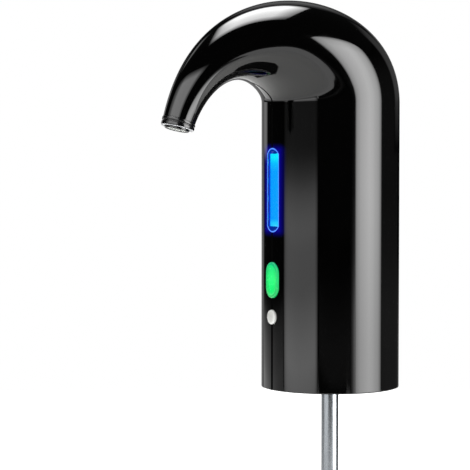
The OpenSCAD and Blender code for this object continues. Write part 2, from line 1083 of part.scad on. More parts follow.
// Crank disc on the shaft, bored at a lean for its drive pin
module eccentric() {
    color("#d7d3c8")
        at_pump()
            difference() {
                post(crank_r, crank_z, pump_top - pump_floor - 0.6);
                post(shaft_r + fit / 2, crank_z + 0.6, pump_top);
                at_crank_pin()
                    post(pin_d / 2 + fit / 2, -1, pump_top);
            }
}

// Frame at the foot of the leaning drive pin, on the pump's axis
module at_crank_pin() {
    translate([0, 0, pin_foot])
        rotate([0, pin_lean, 0])
            children();
}

module eccentric_pin() {
    color(steel)
        at_pump()
            difference() {
                at_crank_pin()
                    post(pin_d / 2, 0, pump_top - pin_foot);
                post(crank_r, pump_top - pump_floor - 0.6, pump_top + 2);
                post(shaft_r + fit / 2, crank_z + 0.6, pump_top);
            }
}

// Pump body with the room for crank and rocker
module pump_body() {
    color("#e8e4d8")
        at_pump()
            difference() {
                post(pump_d / 2, membrane_top, pump_top);
                post(pump_d / 2 - pump_wall, membrane_top - 1, pump_top - pump_floor);
                post(bush_r + 1, membrane_top, pump_top + 1);
                rotate([0, 0, 180])
                    translate([0, 0, pump_top - 4])
                        rotate([0, 90, 0])
                            cylinder(r = 0.8, h = pump_d);
                around(3, pump_screw_circle, 60)
                    post(pump_screw_d / 2 + thread_gap, membrane_top - 1, pump_top - pump_floor - 2);
            }
}

// Three-armed plate between the crank and the membrane's pegs
module rocker() {
    color("#d7d3c8")
        at_pump()
            difference() {
                union() {
                    post(rocker_hub_r, rocker_z, rocker_z + rocker_t + rocker_hub_h);
                    for (a = [0, 120, 240])
                        rotate([0, 0, a])
                            translate([0, -1.6, rocker_z])
                                cube([chamber_circle, 3.2, rocker_t]);
                    around(3, chamber_circle)
                        post(1.6, rocker_z, rocker_z + rocker_t);
                }
                translate([0, 0, pin_foot - 0.4])
                    cylinder(r1 = pin_d / 2 + run, r2 = pin_d / 2 + run + 5 * tan(pin_lean), h = 5);
                around(3, chamber_circle)
                    post(peg_r + fit, rocker_z - 1, rocker_z + rocker_t + 1);
            }
}

// Rubber membrane with three working cups and their pegs
module diaphragm() {
    color("#3a3d42")
        at_pump()
            difference() {
                union() {
                    post(pump_d / 2, plate_top, membrane_top);
                    around(3, chamber_circle) {
                        post(cup_bump_r, membrane_top - 0.5, membrane_top + cup_bump_h);
                        post(peg_r, membrane_top, membrane_top + cup_bump_h + peg_h);
                    }
                }
                around(3, chamber_circle)
                    post(cup_bump_r - 0.7, plate_top - 1, membrane_top + cup_bump_h - 0.8);
                around(3, pump_screw_circle, 60)
                    post(pump_screw_d / 2 + fit, plate_top - 1, membrane_top + 1);
            }
}

module valve_plate() {
    color("#e8e4d8")
        at_pump()
            difference() {
                post(pump_d / 2, cover_top, plate_top);
                around(3, chamber_circle)
                    post(0.7, cover_top - 1, plate_top + 1);
                post(1, cover_top - 1, plate_top + 1);
                around(3, pump_screw_circle, 60)
                    post(pump_screw_d / 2 + fit, cover_top - 1, plate_top + 1);
            }
}

// Pump cover with the air nipple, which points down through the deck
module pump_cover() {
    nipple_r = air_bore / 2 - fit;
    color("#e8e4d8")
        at_pump()
            difference() {
                union() {
                    post(pump_d / 2, deck_top, cover_top);
                    post(nipple_r, deck_top - nipple_len, deck_top + 1);
                }
                post(pump_d / 2 - pump_wall, deck_top + 1.4, cover_top + 1);
                post(air_passage / 2, deck_top - nipple_len - 1, cover_top);
                around(3, pump_screw_circle, 60)
                    post(pump_screw_d / 2 + fit, deck_top - 1, cover_top + 1);
            }
}

module pump_screws() {
    color(steel)
        at_pump_screws()
            translate([0, 0, deck_z])
                screw(pump_screw_d, pump_screw_head, pump_screw_head_h,
                    membrane_top - deck_z + pump_h / 2);
}

module air_hose() {
    color(silicone)
        at_pump()
            tube(air_d / 2, air_bore / 2, valve_top, deck_top - 1);
}

// Valve that lets the air out of the pump and not back
module check_valve() {
    color("#c9d3da")
        at_pump()
            difference() {
                union() {
                    post(port_r - fit, air_arm_top - 2.4, air_arm_top + 0.5);
                    post(valve_r, air_arm_top, valve_top);
                    post(air_bore / 2 - fit, valve_top - 0.5, valve_top + valve_spigot);
                }
                post(air_passage / 2, air_arm_top - 3, valve_top + valve_spigot + 1);
            }
}

// Bar from the manifold's middle to a port
module manifold_arm(to, width, z0, z1) {
    rotate([0, 0, atan2(to[1], to[0])]) {
        translate([0, -width / 2, z0])
            cube([norm(to), width, z1 - z0]);
        translate([norm(to), 0, 0])
            post(width / 2 + arm_swell, z0, z1);
    }
}

// Passage from the manifold's middle to just past a port's bore, at one height
module manifold_passage(to, r, bore, z) {
    translate([0, 0, z])
        rotate([0, 0, atan2(to[1], to[0])])
            translate([passage_start, 0, 0])
                rotate([0, 90, 0])
                    cylinder(r = r, h = norm(to) - passage_start + bore + passage_over);
}

// Block on the cup's roof that joins the dip tube to the long hose and leads the pump's air down
module manifold() {
    air_port = [pump_x, row_y];
    wine_port = [0, hose_y];
    air_z = roof_top + 2.2;
    color(inner_grey)
        difference() {
            union() {
                post(spigot_r + manifold_wall, roof_top, manifold_top);
                post(spigot_r, -stopper_below + 1, roof_top + 1);
                manifold_arm(air_port, 2 * valve_r + manifold_wall, roof_top + arm_lift, air_arm_top);
                manifold_arm(wine_port, hose_d + 1, socket_top, manifold_top);
                translate([0, hose_y, 0])
                    post(barb_r, manifold_top - 1, manifold_top + barb_len);
            }
            post(air_bore_r, -stopper_below - 1, socket_foot);
            post(tube_r + fit, socket_foot - 1, socket_top);
            post(tube_bore - 1, socket_top - 1, wine_z + wine_passage + 0.3);
            manifold_passage(wine_port, wine_passage, barb_r - barb_wall, wine_z);
            translate([0, hose_y, 0])
                post(barb_r - barb_wall, wine_z - 0.5, manifold_top + barb_len + 1);
            manifold_passage(air_port, air_passage / 2, 0, air_z);
            at_pump()
                post(port_r, air_z - air_passage, air_arm_top + 1);
        }
}

// Ribbed stopper, stretched over the manifold's spigot
module stopper() {
    sleeve_r = stopper_d / 2 - rib_out;
    top = cup_depth - gasket_t;
    pitch = (top - 1 - rib_h + stopper_below - 0.5) / stopper_ribs;
    color(silicone)
        rotate_extrude() {
            translate([spigot_r + fit, -stopper_below + 1])
                square([sleeve_r - spigot_r - fit, cup_depth + stopper_below - 1]);
            translate([air_bore_r, -stopper_below])
                square([sleeve_r - 0.8 - air_bore_r, 1 - fit]);
            translate([sleeve_r - 1, -stopper_below])
                square([0.4, 2]);
            for (k = [0 : stopper_ribs - 1])
                translate([sleeve_r - 0.5, -stopper_below + 0.5 + k * pitch])
                    square([rib_out + 0.5, rib_h]);
        }
}

// Flat ring under the cup's roof
module seat_gasket() {
    color("#2b2b2e")
        tube(cup_r - run, stopper_d / 2 + 0.8, cup_depth - gasket_t, cup_depth);
}

// Hose up the column and over the arch to the outlet
module wine_hose() {
    color(silicone) {
        translate([0, hose_y, 0])
            tube(hose_d / 2, hose_bore / 2, manifold_top + 1, arc_z + hose_lap);
        translate([0, hose_y - arc_r, arc_z])
            rotate([90, 0, 90])
                rotate_extrude(angle = arc_angle)
                    translate([arc_r, 0])
                        difference() {
                            circle(d = hose_d);
                            circle(d = hose_bore);
                        }
    }
}

// Fixed tube, rolled in at its lower end
module dip_tube_upper() {
    color(steel) {
        tube(tube_r, tube_bore, -tube_below, socket_top);
        tube(tube_r, mid_r + slide, -tube_below, -tube_below + tube_stop_h);
    }
}

// First sliding tube, flared at its top and rolled in at its lower end
module dip_tube_middle() {
    color(steel) {
        tube(mid_r, mid_bore, mid_end, mid_top);
        tube(tube_bore - slide, mid_bore, mid_top - tube_stop_h, mid_top);
        tube(mid_r, low_r + slide, mid_end, mid_end + tube_stop_h);
    }
}

// Second sliding tube, with its lower end cut at a slant
module dip_tube_lower() {
    color(steel)
        difference() {
            union() {
                tube(low_r, low_bore, low_end, low_top);
                tube(mid_bore - slide, low_bore, low_top - tube_stop_h, low_top);
            }
            translate([0, 0, low_end])
                rotate([30, 0, 0])
                    translate([-tube_d, -2 * tube_d, -2 * tube_d])
                        cube([2 * tube_d, 4 * tube_d, 2 * tube_d]);
        }
}

left_shell();
right_shell();
base_cover();
base_screws();
nozzle_ring();
outlet_tube();
window_lens();
light_guide();
leds();
control_board();
board_screws();
pour_switch();
pour_switch_stem();
pour_button();
mode_switch();
mode_switch_stem();
mode_button();
charge_board();
charge_socket();
battery_cell();
battery_contacts();
chassis();
motor_can();
motor_magnets();
motor_bushes();
motor_end_cap();
motor_brushes();
motor_shaft();
armature();
windings();
commutator();
eccentric();
eccentric_pin();
pump_body();
rocker();
diaphragm();
valve_plate();
pump_cover();
pump_screws();
air_hose();
check_valve();
manifold();
stopper();
seat_gasket();
wine_hose();
dip_tube_upper();
dip_tube_middle();
dip_tube_lower();
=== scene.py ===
import json
import math

import bmesh
import bpy
from mathutils import Matrix, Vector


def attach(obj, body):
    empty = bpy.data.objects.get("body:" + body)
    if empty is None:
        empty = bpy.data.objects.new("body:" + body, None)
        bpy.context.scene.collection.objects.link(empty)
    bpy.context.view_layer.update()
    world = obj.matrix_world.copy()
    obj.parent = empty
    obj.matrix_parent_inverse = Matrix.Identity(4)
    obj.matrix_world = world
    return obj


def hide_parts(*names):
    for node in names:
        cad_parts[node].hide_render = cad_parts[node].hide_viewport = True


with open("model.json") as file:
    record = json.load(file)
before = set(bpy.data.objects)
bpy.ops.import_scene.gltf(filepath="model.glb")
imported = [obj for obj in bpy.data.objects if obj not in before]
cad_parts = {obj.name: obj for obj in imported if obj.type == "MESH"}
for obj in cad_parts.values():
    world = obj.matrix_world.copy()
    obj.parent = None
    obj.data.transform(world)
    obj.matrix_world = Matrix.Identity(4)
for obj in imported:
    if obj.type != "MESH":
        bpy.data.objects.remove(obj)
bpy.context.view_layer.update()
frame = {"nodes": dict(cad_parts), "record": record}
NODES = frame["nodes"]

MM = 0.001

# Sizes of the part's source, in millimetres
BODY_R = 32.0
WALL = 2.4
INNER_R = BODY_R - WALL
COLUMN_H = 132.0
SPOUT_REACH = 80.8
SPOUT_DROP = 8.2
TIP_R = 7.45
SPOUT_TILT = 19.0
SPOUT_TAPER = 3.8
INNER_LEAD, INNER_TRAIL = 5.6, 37.8
OUTER_LEAD, OUTER_TRAIL = 58.0, 77.0
TIP_Z = COLUMN_H - SPOUT_DROP
RING_H = 3.0
MOUTH_R = 6.1
OUTLET_WALL, OUTLET_BACK = 0.9, 9.0
HOSE_END, BARB_R, BARB_WALL, BARB_LEN = 10.0, 2.34, 0.8, 3.0
FIT, RUN = 0.05, 0.2
WINDOW_W, WINDOW_H, WINDOW_Z, WINDOW_END_R = 10.2, 38.7, 92.0, 6.0
LENS_T, LENS_FLANGE, LENS_FLANGE_T = 1.6, 1.4, 1.2
BAR_W, BAR_H, BAR_BACK = 8.0, 33.6, 23.0
POUR_W, POUR_H, POUR_Z, POUR_PROUD = 10.4, 16.8, 50.8, 0.8
MODE_D, MODE_Z, MODE_PROUD = 7.2, 33.8, 1.4
FLANGE_R, FLANGE = 29.0, 1.2
STEM_TIP, STEM_R = 26.6, 1.7
SOCKET_Z, SOCKET_W, SOCKET_H = 18.5, 8.9, 3.3
SOCKET_MOUTH, SOCKET_LEN, SOCKET_WALL, SOCKET_FLOOR = 31.4, 7.4, 0.35, 0.8
TONGUE_W, TONGUE_T = 6.6, 0.7
PORT_GAP = 0.25
CUP_R, CUP_DEPTH, GASKET_T, GASKET_GAP = 15.4, 23.5, 1.5, 0.8
STOPPER_R, STOPPER_BELOW, STOPPER_FLOOR = 9.5, 2.0, 1.0
STOPPER_RIBS, RIB_H, RIB_OUT, RIB_FOOT, RIB_TOP = 5, 2.0, 1.1, 0.5, 1.0
SPIGOT_R, AIR_BORE_R = 6.2, 5.2
STOP_H = 3.0
TIP_CUT = math.radians(30)
# Dip tubes: piece, node, body, radius, bore, lower and upper end, then the bore at the lower stop
# and the radius at the upper one
TUBES = [("dip_tube_upper_skin", "dip_tube_upper", "housing", 4.0, 3.6, -76.0, 34.0, 3.2, 4.0),
         ("dip_tube_middle_skin", "dip_tube_middle", "tube_middle", 3.15, 2.75, -78.0, 23.5, 2.35, 3.55),
         ("dip_tube_lower_skin", "dip_tube_lower", "tube_lower", 2.3, 1.9, -80.0, 21.5, 1.9, 2.7)]

# Trim that is finer than the source's, in millimetres
RIM_ROUND = 0.5
BAR_SUNK = 0.4
# The lens's edge faces carry a painted highlight; the lean sets that edge aside, so the highlight is wider on
# the left
LENS_EDGE_W, LENS_LEAN = 0.6, 0.3
RING_PROUD, RING_SEAT, RING_FOOT, RING_LEAN = 0.2, 0.02, 0.35, 1.3
WAIST_IN = 0.3
GROOVE_LOW, GROOVE_HIGH, GROOVE_DEEP, GROOVE_SLOPE = 1.2, 1.7, 0.4, 0.1
BRIGHT_H, BRIGHT_IN, BRIGHT_T = 0.25, 0.2, 0.3
LIP_R, LIP_WALL, LIP_END = 5.6, 0.8, 3.9
OUTLET_STEP, OUTLET_LIP = 0.1, 3.6
TONGUE_ROUND, TONGUE_TIP, TONGUE_SUNK = 0.1, 0.25, 0.1
CONTACTS, CONTACT_PITCH, CONTACT_HALF_W, CONTACT_BACK = 12, 0.5, 0.13, 0.5
GASKET_LAND, GASKET_SLOPE, GASKET_DISH = 1.4, 0.3, 0.4
BORE_ROUND, END_ROUND, EDGE_ROUND = 0.15, 0.35, 0.1

# Painted glow of the window on the shell, emitted by the shell's own lacquer: how far it spreads, where it
# starts, and its colour
GLOW_ACROSS, GLOW_ALONG, GLOW_INSET = 5.5, 3.6, 1.0
PAINTED_GLOW_BLUE = (0.003, 0.001, 0.27)

# Seam between the two halves: half its gap, and the small bevel at its edge, a little wider low on the column
SEAM_GAP = 0.05
SEAM_BEVEL = 0.5
SEAM_LOW, SEAM_LOW_BEVEL = 24.0, 0.75

# The CAD's facets lie inside its true curves: room for them, and the share of the arch where it comes in
FACET_ROOM, FACET_FADE = 0.1, 0.1


# Curves of the arch, as points (y, z)
def polar(angle):
    a = math.radians(angle)
    return Vector((math.sin(a), math.cos(a)))


TIP = Vector((-SPOUT_REACH, TIP_Z))
TIP_SIDE = Vector((math.cos(math.radians(SPOUT_TILT)), -math.sin(math.radians(SPOUT_TILT))))
INNER_END = TIP + TIP_R * TIP_SIDE
OUTER_END = TIP - TIP_R * TIP_SIDE
INNER_CURVE = [Vector((-BODY_R, COLUMN_H)), Vector((-BODY_R, COLUMN_H + INNER_LEAD)),
               INNER_END + INNER_TRAIL * polar(SPOUT_TILT + SPOUT_TAPER), INNER_END]
OUTER_CURVE = [Vector((BODY_R, COLUMN_H)), Vector((BODY_R, COLUMN_H + OUTER_LEAD)),
               OUTER_END + OUTER_TRAIL * polar(SPOUT_TILT - SPOUT_TAPER), OUTER_END]


def bezier(p, t):
    u = 1 - t
    return u ** 3 * p[0] + 3 * u * u * t * p[1] + 3 * u * t * t * p[2] + t ** 3 * p[3]


def section(t):
    """Centre, direction towards the outer curve, and radius of the arch at t, a hair inside
    the faceted CAD solid."""
    i, o = bezier(INNER_CURVE, t), bezier(OUTER_CURVE, t)
    d = o - i
    return (i + o) / 2, d.normalized(), d.length / 2 - FACET_ROOM * min(1, t / FACET_FADE)


# Materials
def rgb(code):
    """Linear colour of a six-digit code."""
    out = []
    for k in (0, 2, 4):
        c = int(code[k:k + 2], 16) / 255
        out.append(c / 12.92 if c <= 0.04045 else ((c + 0.055) / 1.055) ** 2.4)
    return out


class Nodes:
    """A material's nodes, made and linked in short lines."""

    def __init__(self, name):
        self.mat = bpy.data.materials.new(name)
        self.mat.use_nodes = True
        self.tree = self.mat.node_tree
        self.tree.nodes.clear()
        self.out = self.add("ShaderNodeOutputMaterial")
        self.shader = self.add("ShaderNodeBsdfPrincipled")
        self.link(self.shader, 0, self.out, 0)
        self.coords = self.add("ShaderNodeTexCoord")

    def add(self, kind, **values):
        n = self.tree.nodes.new(kind)
        for k, v in values.items():
            setattr(n, k, v)
        return n

    def link(self, a, i, b, j):
        self.tree.links.new(a.outputs[i], b.inputs[j])

    def noise(self, scale, detail=3.0, rough=0.5, stretch=(1, 1, 1)):
        m = self.add("ShaderNodeMapping")
        m.inputs["Scale"].default_value = stretch
        n = self.add("ShaderNodeTexNoise")
        n.inputs["Scale"].default_value = scale
        n.inputs["Detail"].default_value = detail
        n.inputs["Roughness"].default_value = rough
        self.link(self.coords, "Object", m, "Vector")
        self.link(m, 0, n, "Vector")
        return n

    def range(self, source, output, lo, hi, from_lo=0.3, from_hi=0.7):
        r = self.add("ShaderNodeMapRange")
        r.inputs["From Min"].default_value = from_lo
        r.inputs["From Max"].default_value = from_hi
        r.inputs["To Min"].default_value = lo
        r.inputs["To Max"].default_value = hi
        self.link(source, output, r, 0)
        return r

    def ramp(self, source, output, stops):
        r = self.add("ShaderNodeValToRGB")
        e = r.color_ramp.elements
        while len(e) > len(stops):
            e.remove(e[-1])
        while len(e) < len(stops):
            e.new(1.0)
        for k, (pos, col) in enumerate(stops):
            e[k].position = pos
            e[k].color = (*col, 1)
        self.link(source, output, r, 0)
        return r

    def math(self, operation, a, b=None):
        m = self.add("ShaderNodeMath", operation=operation)
        for k, v in enumerate((a, b)):
            if v is None:
                continue
            if isinstance(v, float):
                m.inputs[k].default_value = v
            else:
                self.tree.links.new(v, m.inputs[k])
        return m.outputs[0]

    def outside(self, split, axis, middle, half, spread):
        """How far a point lies outside a band about a middle, as a share of a spread."""
        off = self.math("ABSOLUTE", self.math("SUBTRACT", split.outputs[axis], float(middle)))
        over = self.math("MAXIMUM", self.math("SUBTRACT", off, float(half)), 0.0)
        return self.math("DIVIDE", over, float(spread))

    def split(self, space="Object"):
        """A point's X, Y and Z."""
        s = self.add("ShaderNodeSeparateXYZ")
        self.link(self.coords, space, s, 0)
        return s

    def times(self, a, b):
        """Product of two colours."""
        both = self.add("ShaderNodeVectorMath", operation="MULTIPLY")
        self.link(a, 0, both, 0)
        self.link(b, 0, both, 1)
        return both

    def gloss(self, source, lo, hi):
        """Roughness that varies with a noise."""
        self.link(self.range(source, 0, lo, hi), 0, self.shader, "Roughness")

    def bump(self, source, output, strength, distance):
        b = self.add("ShaderNodeBump")
        b.inputs["Strength"].default_value = strength
        b.inputs["Distance"].default_value = distance
        self.link(source, output, b, "Height")
        self.link(b, 0, self.shader, "Normal")

    def set(self, **values):
        for k, v in values.items():
            self.shader.inputs[k.replace("_", " ")].default_value = v


def surface(name, colour, rough, metal=0.0, spread=0.12, scale=300.0, fine=1500.0, bump=0.05,
            depth=0.00003, rough_spread=0.25, stretch=(1, 1, 1), **values):
    """A moulded, cast or drawn surface: cloudy colour, uneven gloss and a fine grain."""
    n = Nodes(name)
    c = rgb(colour)
    cloud = n.noise(scale, 4.0, 0.6, stretch)
    dark, light = [v * (1 - spread) for v in c], [min(1, v * (1 + spread)) for v in c]
    ramp = n.ramp(cloud, 0, [(0.3, dark), (0.7, light)])
    n.link(ramp, 0, n.shader, "Base Color")
    grain = n.noise(fine, 2.0, 0.5, stretch)
    n.gloss(grain, rough * (1 - rough_spread), rough * (1 + rough_spread))
    n.bump(grain, 0, bump, depth)
    n.set(Metallic=metal)
    n.set(**values)
    return n.mat


def gloss_black():
    """Polished black shell: near-mirror lacquer with faint haze, wipe marks and a little dust,
    with a painted blue glow, emitted where the window's light spreads into its surround."""
    n = Nodes("gloss_black_lacquer_painted_glow")
    dust = n.noise(5200, 1.0, 0.4)
    greys = [(0.0, 0.0001), (0.79, 0.0003), (0.83, 0.0025)]
    specks = n.ramp(dust, 0, [(p, (v, v, v)) for p, v in greys])
    n.link(specks, 0, n.shader, "Base Color")
    wipe = n.noise(140, 5.0, 0.65, (1.0, 1.0, 0.12))
    n.gloss(wipe, 0.03, 0.07)
    cloud = n.noise(60, 3.0, 0.5)
    n.bump(cloud, 0, 0.02, 0.00005)
    split = n.split()
    # Painted glow: blue emission on the front of the shell round the window, fading out from its outline
    across = n.outside(split, "X", 0.0, WINDOW_W / 2 * MM, GLOW_ACROSS * MM)
    along = n.outside(split, "Z", WINDOW_Z * MM, (WINDOW_H / 2 - GLOW_INSET) * MM, GLOW_ALONG * MM)
    squares = [n.math("MULTIPLY", across, across), n.math("MULTIPLY", along, along)]
    far = n.math("SQRT", n.math("ADD", *squares))
    near = n.math("SUBTRACT", 1.0, n.math("MINIMUM", far, 1.0))
    front = n.math("LESS_THAN", split.outputs["Y"], 0.0)
    painted_window_glow = n.math("MULTIPLY", n.math("MULTIPLY", near, near), front)
    ramp = n.ramp(painted_window_glow.node, 0, [(0.0, (0, 0, 0)), (1.0, PAINTED_GLOW_BLUE)])
    n.link(ramp, 0, n.shader, "Emission Color")
    n.set(IOR=1.5, Emission_Strength=1.0)
    return n.mat


MATERIALS = {
    "gloss_black": gloss_black(),
    "nozzle_black": surface("nozzle_dark", "060607", 0.08, spread=0.4, scale=500, IOR=1.5),
    "inner_plastic": surface("moulded_grey", "3b3d40", 0.42, scale=220, fine=2600, bump=0.2),
    "led_white": surface("lamp_phosphor", "f0ead2", 0.5, scale=900),
    "mode_white": surface("satin_white", "b6b6b3", 0.3, spread=0.03, scale=400, fine=2200,
                          Subsurface_Weight=0.15, Subsurface_Radius=(0.002, 0.002, 0.002),
                          Coat_Weight=0.4, Coat_Roughness=0.1),
    "board_green": surface("board_lacquer", "1c5a38", 0.35, spread=0.3, scale=700, Coat_Weight=0.3),
    "steel": surface("plated_steel", "b4b8bd", 0.24, 1.0, scale=400, fine=3000, bump=0.1),
    "tube_steel": surface("drawn_steel", "8e9296", 0.24, 1.0, spread=0.08, scale=900, fine=4000, bump=0.08,
                          stretch=(1, 1, 0.05)),
    "cell_sleeve": surface("cell_wrap", "3f6fb5", 0.3, scale=200, Coat_Weight=0.4),
    "magnet_grey": surface("sintered_grey", "48484c", 0.55, scale=900, bump=0.25),
    "lamination": surface("stacked_sheets", "8d9196", 0.4, 0.9, scale=300, fine=2500, stretch=(0.1, 0.1, 3)),
    "bronze": surface("sintered_bronze", "a8803f", 0.45, 1.0, scale=900, bump=0.2),
    "copper": surface("wound_copper", "b8703c", 0.3, 1.0, scale=500, fine=3000, stretch=(0.2, 0.2, 4),
                      bump=0.3),
    "motor_black": surface("motor_plastic", "1f1f22", 0.45, scale=300, fine=2600, bump=0.2),
    "pump_ivory": surface("ivory_plastic", "ded9ca", 0.4, spread=0.06, scale=240, fine=2600, bump=0.15),
    "clear_silicone": surface("clear_silicone", "d9dcd8", 0.34, spread=0.05, scale=260, fine=2400, bump=0.15,
                              Transmission_Weight=0.35, IOR=1.41, Subsurface_Weight=0.25,
                              Subsurface_Radius=(0.003, 0.003, 0.003)),
    "dark_rubber": surface("dark_rubber", "242427", 0.62, spread=0.2, scale=350, fine=2800, bump=0.35),
}
LIT_ROUGH = 0.25


def lit(name, stops, strength, span, base=0.3, sides=None):
    """A glowing piece whose colour runs up a span of heights, and falls to a tint at its sides."""
    n = Nodes(name)
    split = n.split()
    low, high = span
    along = n.range(split, "Z", 0, 1, low * MM, high * MM)
    shine = n.ramp(along, 0, stops)
    if sides:
        middle, half, fall, tint = sides
        off = n.outside(split, "X", middle * MM, half * MM, fall * MM)
        shade = n.ramp(off.node, 0, [(0.0, (1, 1, 1)), (1.0, tint)])
        shine = n.times(shine, shade)
    n.link(shine, 0, n.shader, "Emission Color")
    dim = n.ramp(along, 0, [(p, [v * base for v in c]) for p, c in stops])
    n.link(dim, 0, n.shader, "Base Color")
    grain = n.noise(900, 3.0, 0.6)
    n.gloss(grain, LIT_ROUGH * 0.8, LIT_ROUGH * 1.2)
    n.bump(grain, 0, 0.04, 0.00004)
    n.set(Emission_Strength=strength)
    return n.mat


def glowing(name, dark, bright, strength, **values):
    """A moulding with a painted glow: emission in a slightly cloudy colour."""
    n = Nodes(name)
    cloud = n.noise(260, 3.0, 0.5)
    tint = n.ramp(cloud, 0, [(0.3, dark), (0.7, bright)])
    n.link(tint, 0, n.shader, "Emission Color")
    n.gloss(cloud, 0.02, 0.05)
    n.set(Emission_Strength=strength, IOR=1.46, **values)
    return n.mat


BAR_SPAN = (WINDOW_Z - BAR_H / 2, WINDOW_Z + BAR_H / 2)
BAR_STOPS = [(0, rgb("28dcff")), (0.05, rgb("24d8ff")), (0.11, rgb("02a8fb")), (0.75, rgb("02a8fb")),
             (0.86, rgb("04c8ff")), (0.94, rgb("0af8ff")), (1, rgb("0af8ff"))]
POUR_SPAN = (POUR_Z - POUR_H / 2, POUR_Z + POUR_H / 2)
POUR_STOPS = [(0, rgb("10dc6c")), (0.3, rgb("14f074")), (0.5, rgb("30ff80")), (0.75, rgb("28e87c")),
              (1, rgb("08d67a"))]
# Middle, half width, fall and tint of the green's darker sides
POUR_SIDES = (0.8, 1.0, 3.4, (0.2, 0.62, 0.52))
RIM_STOPS = [(0, rgb("04b056")), (0.5, rgb("08cc6a")), (0.8, rgb("0abc6a")), (1, rgb("14b078"))]
# The clear lens's emission is a painted glow, standing in for the light bar's blue light scattered in it
MATERIALS["window_clear"] = glowing("window_clear_lens_painted_glow", (0.0, 0.010, 0.11), (0.0, 0.016, 0.15), 1.0,
                                    Base_Color=(0.86, 0.93, 1.0, 1), Transmission_Weight=1.0,
                                    Specular_IOR_Level=0.08)
# Edge of the lens: a painted highlight, as bright blue emission on the faces round its rim
PAINTED_LENS_EDGE = glowing("window_lens_edge_painted_highlight", (0.06, 0.22, 0.80), (0.10, 0.29, 1.0), 1.0,
                    Base_Color=(0.02, 0.08, 0.4, 1), Specular_IOR_Level=0.08)
MATERIALS["light_bar"] = lit("light_bar_glow", BAR_STOPS, 1.0, BAR_SPAN, base=0.05)
MATERIALS["pour_green"] = lit("pour_green_face", POUR_STOPS, 0.85, POUR_SPAN, base=0.2, sides=POUR_SIDES)
RIM_GREEN = lit("pour_green_rim", RIM_STOPS, 0.8, POUR_SPAN)
# Rim of the mode button: a lighter copy of its white, a painted highlight along the rim; its peg takes it too
RIM_WHITE_PAINTED_HIGHLIGHT = surface("mode_white_rim_painted_highlight", "c6c6c4", 0.2, spread=0.02, scale=500, Coat_Weight=0.6)
RIM_NOZZLE = surface("nozzle_rim", "b8babd", 0.25, spread=0.1, scale=500, Coat_Weight=0.3)
# Painted shade in the seam between the halves: matt black without any reflection on the seam's bevel and gap
# faces
SEAM_PAINTED_SHADE = surface("seam_painted_shade", "060606", 0.7, scale=500, Specular_IOR_Level=0.0)
TONGUE = surface("socket_tongue", "1b1b1e", 0.5, scale=600)
GOLD = surface("contact_gold", "d2a548", 0.3, 1.0, scale=900)


# Mesh helpers, with the angles in degrees above which an edge stays crisp
SHELL_CREASE, TURNED_CREASE, RINGS_CREASE = 32, 35, 40
# Greatest share of an edge that the rounding of a corner takes
ROUND_SHARE = 0.49


def add_object(name, data):
    """A new object in the scene."""
    o = bpy.data.objects.new(name, data)
    bpy.context.collection.objects.link(o)
    return o


def mesh_object(name, points, faces):
    """A new mesh in the scene, from points in metres."""
    me = bpy.data.meshes.new(name)
    me.from_pydata(points, [], faces)
    return add_object(name, me)


def piece(name, verts, faces, body, materials, replaces=(), face_mats=None, smooth=True):
    """A visible piece on a body, which stands for the nodes that it replaces."""
    o = mesh_object(name, [Vector(v) * MM for v in verts], faces)
    me = o.data
    me.update()
    for m in materials:
        me.materials.append(m)
    if face_mats:
        me.polygons.foreach_set("material_index", face_mats)
    if smooth:
        me.shade_smooth()
    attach(o, body)
    if replaces:
        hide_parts(*replaces)
    return o


def hide(o, *rays):
    """Leave an object out of some kinds of rays."""
    for kind in rays:
        setattr(o, "visible_" + kind, False)


def sharpen(o, degrees):
    """Edges sharper than an angle stay crisp under smooth shading."""
    bm = bmesh.new()
    bm.from_mesh(o.data)
    limit = math.radians(degrees)
    for e in bm.edges:
        e.smooth = len(e.link_faces) == 2 and e.calc_face_angle(0) < limit
    bm.to_mesh(o.data)
    bm.free()


def skin(loops):
    """Points and quads through closed loops of equal length."""
    n = len(loops[0])
    verts = [p for loop in loops for p in loop]
    faces = []
    for k in range(len(loops) - 1):
        for j in range(n):
            a, b = k * n + j, k * n + (j + 1) % n
            faces.append((a, b, b + n, a + n))
    return verts, faces


def lathe(name, profile, steps, place, body, materials, replaces=(), mats=None):
    """A closed profile of (r, z) points turned round an axis; mats gives each profile edge's material."""
    verts = []
    for k in range(steps):
        a = 2 * math.pi * k / steps
        verts += [place @ Vector((r * math.cos(a), r * math.sin(a), z)) for r, z in profile]
    n = len(profile)
    faces, index = [], []
    for k in range(steps):
        this, after = k * n, (k + 1) % steps * n
        for j in range(n):
            i = (j + 1) % n
            faces.append((this + j, this + i, after + i, after + j))
            index.append(mats[j] if mats else 0)
    o = piece(name, verts, faces, body, materials, replaces, index)
    outward(o)
    sharpen(o, TURNED_CREASE)
    return o


def lean(o, place, foot, reach, drop_by):
    """Lower the outer side of a turned piece's mouth, from a foot along its axis on."""
    back = place.inverted()
    for v in o.data.vertices:
        q = back @ (v.co / MM)
        share = min(1, max(0, (q.z - foot) / (RING_H - foot))) * (1 + q.y / reach) / 2
        v.co.z -= share * drop_by * MM
    o.data.update()


def outward(o):
    """All faces look outwards."""
    bm = bmesh.new()
    bm.from_mesh(o.data)
    bmesh.ops.recalc_face_normals(bm, faces=bm.faces)
    bm.to_mesh(o.data)
    bm.free()


